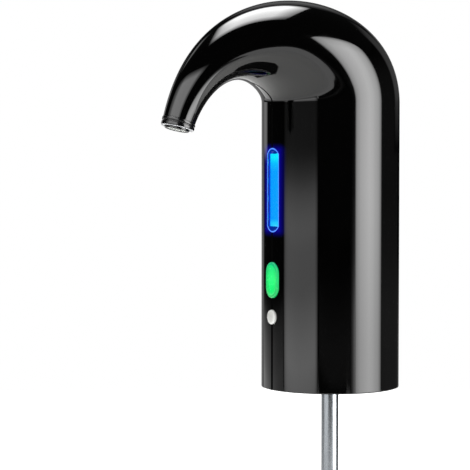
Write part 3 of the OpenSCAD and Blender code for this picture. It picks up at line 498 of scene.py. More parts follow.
def rounded(points, radii, steps=5):
    """A closed outline whose corners are rounded by their own radius."""
    out = []
    n = len(points)
    for k, p in enumerate(points):
        p = Vector(p)
        r = radii[k]
        if r <= 0:
            out.append(tuple(p))
            continue
        a, b = Vector(points[k - 1]) - p, Vector(points[(k + 1) % n]) - p
        half = a.angle(b) / 2
        back = min(r / math.tan(half), ROUND_SHARE * a.length, ROUND_SHARE * b.length)
        q0, q1 = p + a.normalized() * back, p + b.normalized() * back
        for s in range(steps + 1):
            t = s / steps
            out.append(tuple((1 - t) ** 2 * q0 + 2 * (1 - t) * t * p + t * t * q1))
    return out


# Shell halves
ARC_STEPS = 96
ARCH_STEPS = 96
RIM_STEPS = 6
# Heights of the loops on the straight column
COLUMN_LOOPS = (44.0, 66.0, 88.0, 110.0, 126.0)


def half_loop(centre, direction, r, r_in, bevel=SEAM_BEVEL):
    """Closed loop round one half's wall: outer arc, bevelled seam edges, inner arc."""
    def point(x, across):
        q = centre + direction * across
        return Vector((x, q.x, q.y))

    a0 = math.asin((SEAM_GAP + bevel) / r)
    b0 = math.asin(SEAM_GAP / r_in)
    bevel_r = math.sqrt((r - bevel) ** 2 - SEAM_GAP ** 2)
    loop = [point(SEAM_GAP, bevel_r)]
    for j in range(ARC_STEPS + 1):
        a = a0 + (math.pi - 2 * a0) * j / ARC_STEPS
        loop.append(point(r * math.sin(a), r * math.cos(a)))
    loop.append(point(SEAM_GAP, -bevel_r))
    for j in range(ARC_STEPS, -1, -1):
        b = b0 + (math.pi - 2 * b0) * j / ARC_STEPS
        loop.append(point(r_in * math.sin(b), r_in * math.cos(b)))
    return loop


def shell_mesh(side):
    """Points, faces and face materials of one half: rounded rim, column, arch and its two end faces."""
    loops = []
    for k in range(RIM_STEPS + 1):
        a = math.pi / 2 * k / RIM_STEPS
        z = RIM_ROUND * (1 - math.cos(a))
        r = BODY_R - RIM_ROUND * (1 - math.sin(a))
        loops.append(half_loop(Vector((0, z)), Vector((1, 0)), r, INNER_R, SEAM_LOW_BEVEL))
    loops.append(half_loop(Vector((0, SEAM_LOW)), Vector((1, 0)), BODY_R, INNER_R, SEAM_LOW_BEVEL))
    for z in COLUMN_LOOPS:
        loops.append(half_loop(Vector((0, z)), Vector((1, 0)), BODY_R, INNER_R))
    for k in range(ARCH_STEPS + 1):
        c, d, r = section(k / ARCH_STEPS)
        loops.append(half_loop(c, d, r, r - WALL))
    verts, faces = skin(loops)
    n = len(loops[0])
    top = (len(loops) - 1) * n
    m = ARC_STEPS + 1
    end = [(j + 1, n - 1 - j, n - 2 - j, j + 2) for j in range(ARC_STEPS)]
    end += [(0, n - 1, 1), (m + 1, m, m + 2)]
    for base, way in ((0, 1), (top, -1)):
        faces += [tuple(base + i for i in f)[::way] for f in end]
    if side < 0:
        verts = [Vector((-v.x, v.y, v.z)) for v in verts]
        faces = [f[::-1] for f in faces]
    # The seam's bevel and gap faces take the second material, the painted shade
    seam = (0, m, m + 1, n - 1)
    index = [1 if k < top and k % n in seam else 0 for k in range(len(faces))]
    return verts, faces, index


def stadium(w, h, steps=24):
    """Outline with straight sides and round ends, as points (x, z)."""
    r = w / 2
    out = []
    for top in (1, -1):
        for k in range(steps + 1):
            a = math.pi * k / steps
            out.append((top * r * math.cos(a), top * ((h - w) / 2 + r * math.sin(a))))
    return out


def arched(w, h, r, steps=16, side=16):
    """Outline with straight sides and shallow arched ends."""
    x = w / 2
    a0 = math.asin(min(1, x / r))
    z_side = h / 2 - r + r * math.cos(a0)
    out = []
    for top in (1, -1):
        for k in range(steps + 1):
            a = a0 - 2 * a0 * k / steps
            out.append((top * r * math.sin(a), top * (h / 2 - r + r * math.cos(a))))
        for k in range(1, side):
            out.append((-top * x, top * z_side * (1 - 2 * k / side)))
    return out


def lying(w, h):
    """A stadium on its side."""
    return [(x, z) for z, x in stadium(h, w)]


def box_outline(w, h, r, steps=4, side=12):
    """Rectangle with small rounded corners and points along its sides."""
    out = []
    for k in range(4):
        sx, sz = ((1, 1), (-1, 1), (-1, -1), (1, -1))[k]
        cx, cz = sx * (w / 2 - r), sz * (h / 2 - r)
        for j in range(steps + 1):
            a = math.pi / 2 * (k + j / steps)
            out.append((cx + r * math.cos(a), cz + r * math.sin(a)))
        nx, nz = ((-1, 1), (-1, -1), (1, -1), (1, 1))[k]
        ex, ez = nx * (w / 2 - r) + r * math.cos(a), nz * (h / 2 - r) + r * math.sin(a)
        x, z = out[-1]
        out += [(x + (ex - x) * j / side, z + (ez - z) * j / side) for j in range(1, side)]
    return out


def circle(d, steps=48):
    """Points round a circle."""
    angles = [2 * math.pi * k / steps for k in range(steps)]
    return [(d / 2 * math.cos(a), d / 2 * math.sin(a)) for a in angles]


def prism(name, outline, z, y0, y1):
    """A straight prism along Y, to cut with."""
    n = len(outline)
    verts = [Vector((x, y0, z + h)) for x, h in outline] + [Vector((x, y1, z + h)) for x, h in outline]
    faces = [(k, (k + 1) % n, (k + 1) % n + n, k + n) for k in range(n)]
    faces += [tuple(range(n))[::-1], tuple(range(n, 2 * n))]
    o = mesh_object(name, [v * MM for v in verts], faces)
    outward(o)
    return o


def cut(o, cutters):
    """Takes the cutters out of a mesh and keeps only the result."""
    for c in cutters:
        m = o.modifiers.new("cut", "BOOLEAN")
        m.operation = "DIFFERENCE"
        m.solver = "EXACT"
        m.object = c
    deps = bpy.context.evaluated_depsgraph_get()
    me = bpy.data.meshes.new_from_object(o.evaluated_get(deps))
    o.modifiers.clear()
    old = o.data
    o.data = me
    bpy.data.meshes.remove(old)


def drop(objects):
    """Remove objects and their meshes."""
    for c in objects:
        me = c.data
        bpy.data.objects.remove(c)
        bpy.data.meshes.remove(me)


def eased(x):
    """1 at 0, falling softly to 0 at 1."""
    return 0.5 + 0.5 * math.cos(math.pi * min(1, max(0, x)))


# Flanks of the arch: the greatest turn and the lifts between which it is full, in degrees, how far it fades
# above and below them, and where it lies along the arch and above the column
FLANK_TURN, FLANK_HIGH, FLANK_LOW = 7.0, 1.0, -6.0
FLANK_FADE_UP, FLANK_FADE_DOWN = 9.5, 18.0
FLANK_Y, FLANK_LENGTH, FLANK_Z, FLANK_RISE = -34.0, 14.0, 134.0, 10.0
FLANK_FACING = 0.6


def flank_normal(n, v):
    """Normal on the arch's flank, turned down a little, as on a section fuller than a circle."""
    lift = math.degrees(math.asin(max(-1, min(1, n.z))))
    fall = eased((lift - FLANK_HIGH) / FLANK_FADE_UP) * eased((FLANK_LOW - lift) / FLANK_FADE_DOWN)
    along = math.exp(-((v.y - FLANK_Y) / FLANK_LENGTH) ** 2) * (1 - eased((v.z - FLANK_Z) / FLANK_RISE))
    turned = math.radians(lift - FLANK_TURN * fall * along)
    level = Vector((n.x, n.y, 0)).normalized() * math.cos(turned)
    return Vector((level.x, level.y, math.sin(turned)))


# How near to the column's round a point on its wall lies, and how squarely its face looks out
WALL_NEAR, WALL_FACING = 0.03, 0.9


def true_normals(o):
    """Normals of the round column, so that the cut-outs leave its reflections straight, and of the
    arch's flanks."""
    me = o.data
    low, high = RIM_ROUND - WALL_NEAR, COLUMN_LOOPS[-1] - WALL_NEAR
    normals = []
    for p in me.polygons:
        for li in p.loop_indices:
            v = me.vertices[me.loops[li].vertex_index].co / MM
            radial = Vector((v.x, v.y, 0)).normalized()
            on_wall = abs(math.hypot(v.x, v.y) - BODY_R) < WALL_NEAR and low < v.z < high
            n = me.corner_normals[li].vector.copy()
            if on_wall and p.normal.dot(radial) > WALL_FACING:
                n = radial
            elif v.z > FLANK_Z and abs(n.x) > FLANK_FACING and n.x * v.x > 0:
                n = flank_normal(n, v)
            normals.append(n)
    me.normals_split_custom_set(normals)


# The cutters reach through the wall, between these distances from the axis
CUT_NEAR, CUT_FAR = 20, 40
cutters = [prism("cut_window", arched(WINDOW_W, WINDOW_H, WINDOW_END_R), WINDOW_Z, -CUT_FAR, -CUT_NEAR),
           prism("cut_pour", stadium(POUR_W, POUR_H), POUR_Z, -CUT_FAR, -CUT_NEAR),
           prism("cut_mode", circle(MODE_D), MODE_Z, -CUT_FAR, -CUT_NEAR),
           prism("cut_port", lying(SOCKET_W + 2 * PORT_GAP, SOCKET_H + 2 * PORT_GAP), SOCKET_Z,
                 CUT_NEAR, CUT_FAR)]
for side, node in ((-1, "left_shell"), (1, "right_shell")):
    verts, faces, index = shell_mesh(side)
    shell = piece(node + "_skin", verts, faces, "housing",
                  [MATERIALS["gloss_black"], SEAM_PAINTED_SHADE], (node,), index)
    outward(shell)
    cut(shell, cutters)
    sharpen(shell, SHELL_CREASE)
    true_normals(shell)
drop(cutters)


# Pieces built in rings along Y: controls at the column's front, the socket at its back
def rings(name, outlines, z, body, materials, replaces=(), mats=None):
    """A closed solid through rings of (outline, reach) pairs, reach giving each point's y."""
    loops = [[Vector((x, reach(x, h), z + h)) for x, h in outline] for outline, reach in outlines]
    verts, faces = skin(loops)
    n = len(loops[0])
    index = []
    for k in range(len(loops) - 1):
        index += [mats[k] if mats else 0] * n
    faces += [tuple(range(n)), tuple(range((len(loops) - 1) * n, len(loops) * n))[::-1]]
    index += [index[0], index[-1]]
    o = piece(name, verts, faces, body, materials, replaces, index)
    outward(o)
    sharpen(o, RINGS_CREASE)
    return o


def on_round(r):
    """A face that follows a cylinder round the column's axis."""
    return lambda x, h: -math.sqrt(r * r - x * x)


def flat(y):
    """A face square to Y."""
    return lambda x, h: y


def flange_face(x, h):
    """Front of a button's flange, held inside the shell."""
    return -min(FLANGE_R, math.sqrt((INNER_R - RUN) ** 2 - x * x))


# Lens: least room of an end's radius over half the width, and its pocket's end radius and floor insets
END_ROOM, POCKET_END_R, POCKET_INSETS = 0.05, 80.0, (0.0, 1.2, 2.4, 3.6)
# Steps of the faces from their middle outwards, as (inset, depth) pairs, and each step's material
LENS_STEPS = [(4.2, 0), (2.6, 0), (1.4, 0), (LENS_EDGE_W, 0), (0.22, 0.03), (0.07, 0.12), (0, 0.26)]
LENS_MATS = [0, 0, 0, 1, 1, 1] + [0] * 8
BAR_STEPS = [(3.6, 0), (2.4, 0), (1.2, 0), (0.4, 0), (0.26, 0.06), (0.2, 0.2)]
BAR_EDGE, BAR_CORNER, LEAST_CORNER = 0.2, 0.5, 0.05
POUR_STEPS = [(4.7, 0), (3.4, 0), (2.2, 0), (1.35, 0.02), (1.2, 0.1), (1.05, 0.1), (0.6, 0.1),
              (0.3, 0.18), (0.1, 0.36), (0, 0.62)]
POUR_MATS = [0] * 4 + [1] * 8
MODE_STEPS = [(3.3, 0), (2.6, 0), (2, 0), (1.4, 0), (1, 0), (0.85, 0.08), (0.7, 0.08),
              (0.35, 0.04), (0.15, 0.1), (0.03, 0.26), (0, 0.45)]
MODE_MATS = [0] * 6 + [1] * 7
# Tip of a button's peg, its lap into the flange, and the socket's rolled mouth from its outside in
FOOT_STEPS = [(0, 0.25), (0.08, 0.08), (0.25, 0)]
FOOT_LAP = 0.02
SOCKET_STEPS = [(0, 0.3), (0.03, 0.12), (0.1, 0.03), (0.175, 0), (0.25, 0.03), (0.32, 0.12), (0.35, 0.3)]


def lens_outline(inset):
    """Outline of the window, drawn in by an inset."""
    w = WINDOW_W - 2 * FIT - 2 * inset
    return arched(w, WINDOW_H - 2 * FIT - 2 * inset, max(WINDOW_END_R - FIT - inset, w / 2 + END_ROOM))


def pocket_outline(inset):
    """Outline of the lens's pocket for the light bar, with all but straight ends."""
    return arched(BAR_W + 2 * FIT - 2 * inset, BAR_H + 2 * FIT - 2 * inset, POCKET_END_R)


bar_front = BODY_R - LENS_T
lens_rings = []
# The edge step is set aside by the lean, so the painted highlight round the lens is wider on its left
for inset, depth in LENS_STEPS:
    aside = LENS_LEAN if inset == LENS_EDGE_W else 0.0
    lens_rings.append(([(x + aside, h) for x, h in lens_outline(inset)], on_round(BODY_R - depth)))
lens_rings += [(lens_outline(0), on_round(INNER_R - FIT)),
               (lens_outline(-LENS_FLANGE), on_round(INNER_R - FIT)),
               (lens_outline(-LENS_FLANGE), on_round(INNER_R - LENS_FLANGE_T)),
               (pocket_outline(0), on_round(INNER_R - LENS_FLANGE_T))]
lens_rings += [(pocket_outline(inset), on_round(bar_front + FIT)) for inset in POCKET_INSETS]
lens = rings("window_lens_cap", lens_rings, WINDOW_Z, "housing",
             [MATERIALS["window_clear"], PAINTED_LENS_EDGE], ("window_lens",), LENS_MATS)

bar_rings = []
for inset, depth in BAR_STEPS:
    corner = max(LEAST_CORNER, BAR_CORNER - inset)
    bar_rings.append((box_outline(BAR_W - 2 * inset, BAR_H - 2 * inset, corner),
                      on_round(bar_front - BAR_SUNK - depth)))
bar_rings.append((box_outline(BAR_W - 2 * BAR_EDGE, BAR_H - 2 * BAR_EDGE, BAR_CORNER - BAR_EDGE),
                  flat(-BAR_BACK)))
bar = rings("light_guide_bar", bar_rings, WINDOW_Z, "housing", [MATERIALS["light_bar"]],
            ("light_guide",))
hide(lens, "glossy")
hide(bar, "glossy")


def pour_outline(inset):
    """Outline of the pour button's hole, drawn in by an inset."""
    return stadium(POUR_W - 2 * inset, POUR_H - 2 * inset)


def pour_face(sink):
    """The pour button's face, round like the column, sunk by a small step."""
    return on_round(BODY_R + POUR_PROUD - sink)


def mode_outline(inset):
    """Outline of the mode button's hole, drawn in by an inset."""
    return circle(MODE_D - 2 * inset)


DOME_R = MODE_D * 1.1


def mode_face(sink):
    """The mode button's domed face, sunk by a small step."""
    top = BODY_R + MODE_PROUD - sink
    return lambda x, h: DOME_R - top - math.sqrt(DOME_R ** 2 - min(x * x + h * h, DOME_R ** 2))


def button(name, z, slot, rim, outline, face, steps, mats):
    """A button's cap with its flange, and the peg behind it that meets its switch's stem."""
    back = flat(FLANGE - FLANGE_R)
    cap = [(outline(RUN + inset), face(sink)) for inset, sink in steps]
    cap += [(outline(RUN), flange_face), (outline(-FLANGE), flange_face), (outline(-FLANGE), back)]
    rings(name + "_cap", cap, z, name, [MATERIALS[slot], rim], (name,), mats)
    peg = [(circle(2 * STEM_R), flat(FLANGE - FLANGE_R - FOOT_LAP))]
    peg += [(circle(2 * (STEM_R - inset)), flat(-STEM_TIP - behind)) for inset, behind in FOOT_STEPS]
    rings(name + "_foot", peg, z, name, [rim])


button("pour_button", POUR_Z, "pour_green", RIM_GREEN, pour_outline, pour_face, POUR_STEPS, POUR_MATS)
button("mode_button", MODE_Z, "mode_white", RIM_WHITE_PAINTED_HIGHLIGHT, mode_outline, mode_face, MODE_STEPS, MODE_MATS)

# Charging socket: drawn steel sleeve with a rolled mouth, dark tongue and two rows of contacts
floor_y = SOCKET_MOUTH - SOCKET_LEN + SOCKET_FLOOR
tongue_y = SOCKET_MOUTH - SOCKET_FLOOR
socket_rings = [(lying(SOCKET_W, SOCKET_H), flat(SOCKET_MOUTH - SOCKET_LEN))]
for inset, back in SOCKET_STEPS:
    socket_rings.append((lying(SOCKET_W - 2 * inset, SOCKET_H - 2 * inset), flat(SOCKET_MOUTH - back)))
socket_rings.append((lying(SOCKET_W - 2 * SOCKET_WALL, SOCKET_H - 2 * SOCKET_WALL), flat(floor_y)))
rings("charge_socket_sleeve", socket_rings, SOCKET_Z, "housing", [MATERIALS["steel"]],
      ("charge_socket",))
tongue = box_outline(TONGUE_W, TONGUE_T, TONGUE_ROUND)
tongue_tip = box_outline(TONGUE_W - 2 * TONGUE_ROUND, TONGUE_T - 2 * TONGUE_ROUND, TONGUE_ROUND)
tongue_rings = [(tongue, flat(floor_y - TONGUE_SUNK)), (tongue, flat(tongue_y - TONGUE_TIP)),
                (tongue_tip, flat(tongue_y))]
rings("charge_socket_tongue", tongue_rings, SOCKET_Z, "housing", [TONGUE])
# Section of one contact, as shares of its half width and heights above the tongue
CONTACT_SECTION = [(-1, -0.02), (-1, 0.03), (-0.7, 0.05), (0.7, 0.05), (1, 0.03), (1, -0.02)]


def contact_row(name, side):
    """A row of flat contacts on one face of the tongue."""
    n = len(CONTACT_SECTION)
    strip = [(j, (j + 1) % n, (j + 1) % n + n, j + n) for j in range(n)]
    strip += [tuple(range(n))[::-1], tuple(range(n, 2 * n))]
    verts, faces = [], []
    for k in range(CONTACTS):
        x = (k - (CONTACTS - 1) / 2) * CONTACT_PITCH
        faces += [tuple(len(verts) + j for j in f) for f in strip]
        for y in (floor_y, tongue_y - CONTACT_BACK):
            verts += [(x + u * CONTACT_HALF_W, y, SOCKET_Z + side * (TONGUE_T / 2 + w))
                      for u, w in CONTACT_SECTION]
    outward(piece(name, verts, faces, "housing", [GOLD], smooth=False))


contact_row("charge_contacts_upper", 1)
contact_row("charge_contacts_lower", -1)

# Nozzle: ring with its groove and bright rim, and the pale outlet within
TIP_FRAME = (Matrix.Translation((0, -SPOUT_REACH, TIP_Z))
             @ Matrix.Rotation(math.radians(180 - SPOUT_TILT), 4, "X"))
UPRIGHT = Matrix.Identity(4)
FINE_TURN, TURN = 96, 72
ring_r = TIP_R + RING_PROUD
waist_r, groove_r, rim_r = TIP_R - WAIST_IN, ring_r - GROOVE_DEEP, MOUTH_R - BRIGHT_IN
lip_in = LIP_R - LIP_WALL
collar_r = TIP_R - WALL - FIT
collar_in = collar_r - OUTLET_WALL
ring_outline = rounded(
    [(collar_in, -OUTLET_BACK / 2), (collar_r, -OUTLET_BACK / 2), (collar_r, RING_SEAT), (waist_r, RING_SEAT),
     (waist_r, RING_FOOT), (ring_r, RING_FOOT), (ring_r, GROOVE_LOW), (groove_r, GROOVE_LOW + GROOVE_SLOPE),
     (groove_r, GROOVE_HIGH - GROOVE_SLOPE), (ring_r, GROOVE_HIGH), (ring_r, RING_H), (rim_r, RING_H),
     (rim_r, RING_H - BRIGHT_T), (LIP_R, RING_H - BRIGHT_T), (LIP_R, LIP_END), (lip_in, LIP_END),
     (lip_in, RING_H / 2), (collar_in, RING_H / 2)],
    [0, 0, 0, 0.05, 0.05, 0.25, 0.3, 0.1, 0.1, 0.3, 0.4, 0.15, 0.05, 0.05, 0.3, 0.3, 0.3, 0.2])
ring_mats = [1 if RING_H - BRIGHT_H < z < RING_H + FIT and r > MOUTH_R - BRIGHT_IN / 2 else 0
             for r, z in ring_outline]
ring = lathe("nozzle_ring_trim", ring_outline, FINE_TURN, TIP_FRAME, "housing",
             [MATERIALS["nozzle_black"], RIM_NOZZLE], ("nozzle_ring",), ring_mats)
lean(ring, TIP_FRAME, RING_FOOT, ring_r, RING_LEAN)

outlet_r = collar_in - FIT
outlet_in = outlet_r - OUTLET_WALL
outlet_outline = rounded(
    [(BARB_R - BARB_WALL, -HOSE_END - BARB_LEN), (BARB_R, -HOSE_END - BARB_LEN), (BARB_R, -HOSE_END),
     (outlet_r, -HOSE_END), (outlet_r, RING_H / 2 + OUTLET_STEP), (lip_in - FIT, RING_H / 2 + OUTLET_STEP),
     (lip_in - FIT, OUTLET_LIP), (outlet_in, OUTLET_LIP), (outlet_in, -OUTLET_BACK / 2),
     (BARB_R - BARB_WALL, -OUTLET_BACK)],
    [0.1, 0.3, 0.2, 0.2, 0.1, 0.1, 0.42, 0.6, 1.5, 1.0])
outlet = lathe("outlet_tube_spout", outlet_outline, TURN, TIP_FRAME, "housing",
               [MATERIALS["clear_silicone"]], ("outlet_tube",))
lean(outlet, TIP_FRAME, RING_FOOT, ring_r, RING_LEAN)

# Stopper, with rounded ribs, and the gasket above it
sleeve_r = STOPPER_R - RIB_OUT
stopper_foot, stopper_floor = -STOPPER_BELOW, STOPPER_FLOOR - STOPPER_BELOW
rib_pitch = (CUP_DEPTH - GASKET_T - RIB_TOP - RIB_H + STOPPER_BELOW - RIB_FOOT) / STOPPER_RIBS
corners = [(AIR_BORE_R, stopper_foot), (sleeve_r, stopper_foot)]
radii = [0.2, 0.3]
for k in range(STOPPER_RIBS):
    low = stopper_foot + RIB_FOOT + k * rib_pitch
    corners += [(sleeve_r, low), (STOPPER_R, low), (STOPPER_R, low + RIB_H), (sleeve_r, low + RIB_H)]
    radii += [0.25, 0.7, 0.7, 0.35]
corners += [(sleeve_r, CUP_DEPTH), (SPIGOT_R + FIT, CUP_DEPTH), (SPIGOT_R + FIT, stopper_floor),
            (AIR_BORE_R, stopper_floor)]
radii += [0.2, 0, 0, 0.1]
lathe("stopper_sleeve", rounded(corners, radii, 6), FINE_TURN, UPRIGHT, "housing",
      [MATERIALS["clear_silicone"]], ("stopper",))
gasket_foot = CUP_DEPTH - GASKET_T
gasket_in, gasket_out = STOPPER_R + GASKET_GAP, CUP_R - RUN
gasket_dish = gasket_foot + GASKET_DISH
dish_in = GASKET_LAND + GASKET_SLOPE
gasket_outline = rounded(
    [(gasket_in, gasket_foot), (gasket_in + GASKET_LAND, gasket_foot), (gasket_in + dish_in, gasket_dish),
     (gasket_out - dish_in, gasket_dish), (gasket_out - GASKET_LAND, gasket_foot), (gasket_out, gasket_foot),
     (gasket_out, CUP_DEPTH), (gasket_in, CUP_DEPTH)],
    [0.4, 0.25, 0.2, 0.2, 0.25, 0.4, 0.2, 0.2])
lathe("seat_gasket_ring", gasket_outline, FINE_TURN, UPRIGHT, "housing",
      [MATERIALS["dark_rubber"]], ("seat_gasket",))

# Telescopic dip tube: drawn tubes with rolled-in ends
for name, node, body, r, bore, low, high, stop_in, stop_out in TUBES:
    tube_corners = [(stop_in, low), (r, low)]
    if stop_out > r:
        tube_corners += [(r, high - STOP_H), (stop_out, high - STOP_H)]
    tube_corners += [(stop_out, high), (bore, high)]
    if stop_in < bore:
        tube_corners += [(bore, low + STOP_H), (stop_in, low + STOP_H)]
    tube_radii = [BORE_ROUND, END_ROUND] + [EDGE_ROUND] * (len(tube_corners) - 2)
    tube = lathe(name, rounded(tube_corners, tube_radii), TURN, UPRIGHT, body,
                 [MATERIALS["tube_steel"]], (node,))
    if node == "dip_tube_lower":
        slant = prism("cut_tip", box_outline(4 * r, 4 * r, EDGE_ROUND), -2 * r, -4 * r, 4 * r)
        slant.matrix_world = Matrix.Translation((0, 0, low * MM)) @ Matrix.Rotation(TIP_CUT, 4, "X")
        bpy.context.view_layer.update()
        cut(tube, [slant])
        drop([slant])
        sharpen(tube, TURNED_CREASE)

# Nodes that stay as they are take their slot's finish
for sub in frame["record"]["subparts"]:
    me = NODES[sub["node"]].data
    me.materials.clear()
    me.materials.append(MATERIALS[sub["material_slot"]])

# Camera, from the photograph's viewing angle
CAMERA_AZ = math.radians(56.3)
CAMERA_D = 0.974
CAMERA_Z = 0.1186
CAMERA_F = 2092.0
CAMERA_PITCH = math.radians(2.82)
CAMERA_YAW = math.radians(2.61)
IMAGE = 470.0
SENSOR = 36.0
CLIP_START = 0.01
UP = Vector((0, 0, 1))


def add_camera():
    """Camera in front of the part, turned aside and tipped down a little."""
    back = Vector((math.sin(CAMERA_AZ), -math.cos(CAMERA_AZ), 0))
    right = Vector((math.cos(CAMERA_AZ), math.sin(CAMERA_AZ), 0))
    ahead = -back * math.cos(CAMERA_YAW) - right * math.sin(CAMERA_YAW)
    side = right * math.cos(CAMERA_YAW) - back * math.sin(CAMERA_YAW)
    down = ahead * math.cos(CAMERA_PITCH) - UP * math.sin(CAMERA_PITCH)
    above = UP * math.cos(CAMERA_PITCH) + ahead * math.sin(CAMERA_PITCH)
    data = bpy.data.cameras.new("camera")
    data.sensor_width = SENSOR
    data.lens = CAMERA_F / IMAGE * SENSOR
    data.clip_start = CLIP_START
    cam = add_object("camera", data)
    m = Matrix((side, above, -down)).transposed().to_4x4()
    m.translation = back * CAMERA_D + UP * CAMERA_Z
    cam.matrix_world = m
    bpy.context.scene.camera = cam


add_camera()


# Studio: pale floor, white backdrop and soft panels
def emitter(name, strength, across=None, up=None):
    """Light surface, graded across and up the panel by grey stops."""
    n = Nodes(name)
    n.tree.nodes.remove(n.shader)
    e = n.add("ShaderNodeEmission")
    n.link(e, 0, n.out, 0)
    e.inputs["Strength"].default_value = strength
    split = n.split("Generated")
    graded = None
    for axis, stops in (("X", across), ("Z", up)):
        if stops:
            ramp = n.ramp(split, axis, [(p, (v, v, v)) for p, v in stops])
            graded = n.times(graded, ramp) if graded else ramp
    if graded:
        n.link(graded, 0, e, "Color")
    return n.mat


DOME_STEPS = 24
FLOOR_Z, FLOOR_R, FLOOR_STEPS = -0.272, 2.2, 128


def stage_face(name, points, material):
    """A single flat face of the studio."""
    o = mesh_object(name, points, [tuple(range(len(points)))])
    o.data.materials.append(material)
    return o


def place_panel(name, width, height, matrix, material, domed=1.0):
    """Flat panel, invisible to the camera, whose lower edge lies along its own X axis; its top
    is arched from a share of its height on."""
    w, foot = width / 2, height * domed
    top = [(w, 0, height), (-w, 0, height)]
    if domed < 1:
        angles = [math.pi * k / DOME_STEPS for k in range(DOME_STEPS + 1)]
        top = [(w * math.cos(a), 0, foot + (height - foot) * math.sin(a)) for a in angles]
    o = stage_face(name, [(-w, 0, 0), (w, 0, 0)] + top, material)
    o.matrix_world = matrix
    hide(o, "camera")


def bearing(angle):
    """Directions out from the part and to the side, at an angle to the right of the camera's direction."""
    a = CAMERA_AZ + math.radians(angle)
    return Vector((math.sin(a), -math.cos(a), 0)), Vector((math.cos(a), math.sin(a), 0))


def panel(name, left, right, distance, levels, strength, across=None, domed=1.0):
    """Upright soft panel between two angles, facing the part, graded by (z, share) levels."""
    out, side = bearing((left + right) / 2)
    width = 2 * distance * math.tan(math.radians(right - left) / 2)
    z0, z1 = levels[0][0], levels[-1][0]
    up = [((z - z0) / (z1 - z0), v) for z, v in levels]
    m = Matrix((side, -out, UP)).transposed().to_4x4()
    m.translation = out * distance + UP * z0
    place_panel(name, width, z1 - z0, m, emitter(name, strength, across, up), domed)


# Distances of the panels from the part's axis, in metres
PANEL_D, NEARER_D, BEHIND_D, FRONT_D = 1.1, 1.05, 1.12, 2.25
panel("panel_right", 41, 93, PANEL_D,
      [(FLOOR_Z, 0.75), (-0.09, 0.8), (0, 0.93), (0.06, 1), (0.8, 1), (1, 0.8), (1.12, 0.25)], 10.2,
      [(0, 0), (0.03, 0.35), (0.065, 0.58), (0.2, 0.83), (0.35, 0.93), (0.5, 1), (0.63, 0.9),
       (0.7, 0.79), (0.85, 0.62), (0.95, 0.35), (1, 0.1)], 0.83)
panel("panel_left_low", -83, -20, NEARER_D,
      [(FLOOR_Z, 0.4), (-0.16, 0.45), (-0.135, 0.85), (-0.122, 0.9), (-0.105, 1), (-0.084, 0.9),
       (-0.063, 0.76), (-0.043, 0.62), (-0.034, 0.56), (0.006, 0.57), (0.023, 0.66), (0.031, 0.645),
       (0.043, 0.58), (0.052, 0.5), (0.061, 0.41), (0.073, 0.245), (0.082, 0.17), (0.094, 0.09),
       (0.105, 0.065), (0.27, 0.04)], 2.65,
      [(0, 0), (0.04, 0.45), (0.09, 0.8), (0.17, 0.96), (0.3, 1), (0.9, 1), (0.95, 0.7),
       (0.985, 0.25), (1, 0)])
panel("panel_left_wide", -150, -84, NEARER_D,
      [(FLOOR_Z, 1.05), (-0.125, 1.05), (-0.12, 0.95), (-0.11, 0.78), (-0.1, 0.68), (-0.09, 0.62),
       (-0.078, 0.48), (-0.07, 0.38), (-0.062, 0.25), (-0.053, 0.1), (-0.046, 0.05), (-0.03, 0)], 0.62,
      [(0, 1.25), (0.4, 1.2), (0.8, 0.8), (1, 0.7)])
panel("panel_left_high", -108, 4, PANEL_D, [(0.354, 0.6), (0.45, 1), (0.92, 1), (1, 0.5), (1.1, 0)], 4,
      [(0, 0), (0.22, 0), (0.264, 0.12), (0.377, 0.4), (0.434, 0.9), (0.5, 1), (0.8, 0.95),
       (0.85, 0.75), (0.89, 0.45), (0.964, 0.25), (1, 0)])
panel("panel_back_left", -146, -128, PANEL_D, [(0.09, 0), (0.105, 1), (0.42, 1), (0.52, 0)], 0.8,
      [(0, 0.4), (0.25, 1), (0.75, 1), (1, 0)])
panel("panel_back_far", -180.5, -145.5, PANEL_D, [(FLOOR_Z, 1), (0.3, 1), (0.5, 0)], 0.3)
panel("panel_back_right", 150, 180.5, PANEL_D,
      [(FLOOR_Z, 0.25), (-0.1, 0.25), (-0.05, 0.12), (0, 0), (0.13, 0), (0.2, 0.25), (0.45, 0.25), (0.6, 0)],
      0.6, [(0, 0.3), (0.5, 1), (1, 1)])
panel("panel_back_high", 158, 202, BEHIND_D,
      [(0.5, 0), (0.6, 0.2), (0.76, 0.65), (0.93, 1), (1.09, 0.6), (1.3, 0.6)], 0.4,
      [(0, 0), (0.3, 1), (0.7, 1), (1, 0)])
panel("panel_far_right", 94, 150.5, PANEL_D,
      [(FLOOR_Z, 1), (-0.06, 1), (0, 0.6), (0.06, 0.4), (0.4, 0.33), (0.6, 0.15), (0.8, 0)], 0.15,
      [(0, 1), (0.3, 0.8), (0.6, 0.45), (1, 0.2)])
panel("panel_rim_left", -145, -119, BEHIND_D,
      [(0.42, 0), (0.5, 0.2), (0.57, 0.2), (0.71, 0.45), (0.78, 0.75), (0.84, 1), (1, 0.8), (1.15, 0)], 1.1,
      [(0, 0), (0.3, 0.8), (0.5, 1), (0.75, 0.9), (1, 0)])
panel("panel_rim_right", 132, 154, NEARER_D, [(0.1, 0), (0.17, 0.8), (0.24, 1), (0.75, 1), (0.95, 0)], 0.2,
      [(0, 0), (0.25, 1), (1, 0.6)])
panel("panel_right_edge", 33, 41.3, PANEL_D,
      [(FLOOR_Z, 1), (-0.065, 1), (-0.03, 0.55), (0, 0.27), (0.06, 0.1), (0.12, 0.05), (0.2, 0)], 2.6,
      [(0, 0), (0.15, 0.05), (0.36, 0.12), (0.58, 0.28), (0.78, 0.54), (1, 1)])
panel("panel_middle", -18, 40, FRONT_D,
      [(FLOOR_Z, 0.9), (-0.22, 1), (-0.18, 0.7), (-0.14, 0.35), (-0.1, 0.1), (-0.05, 0)], 0.09)

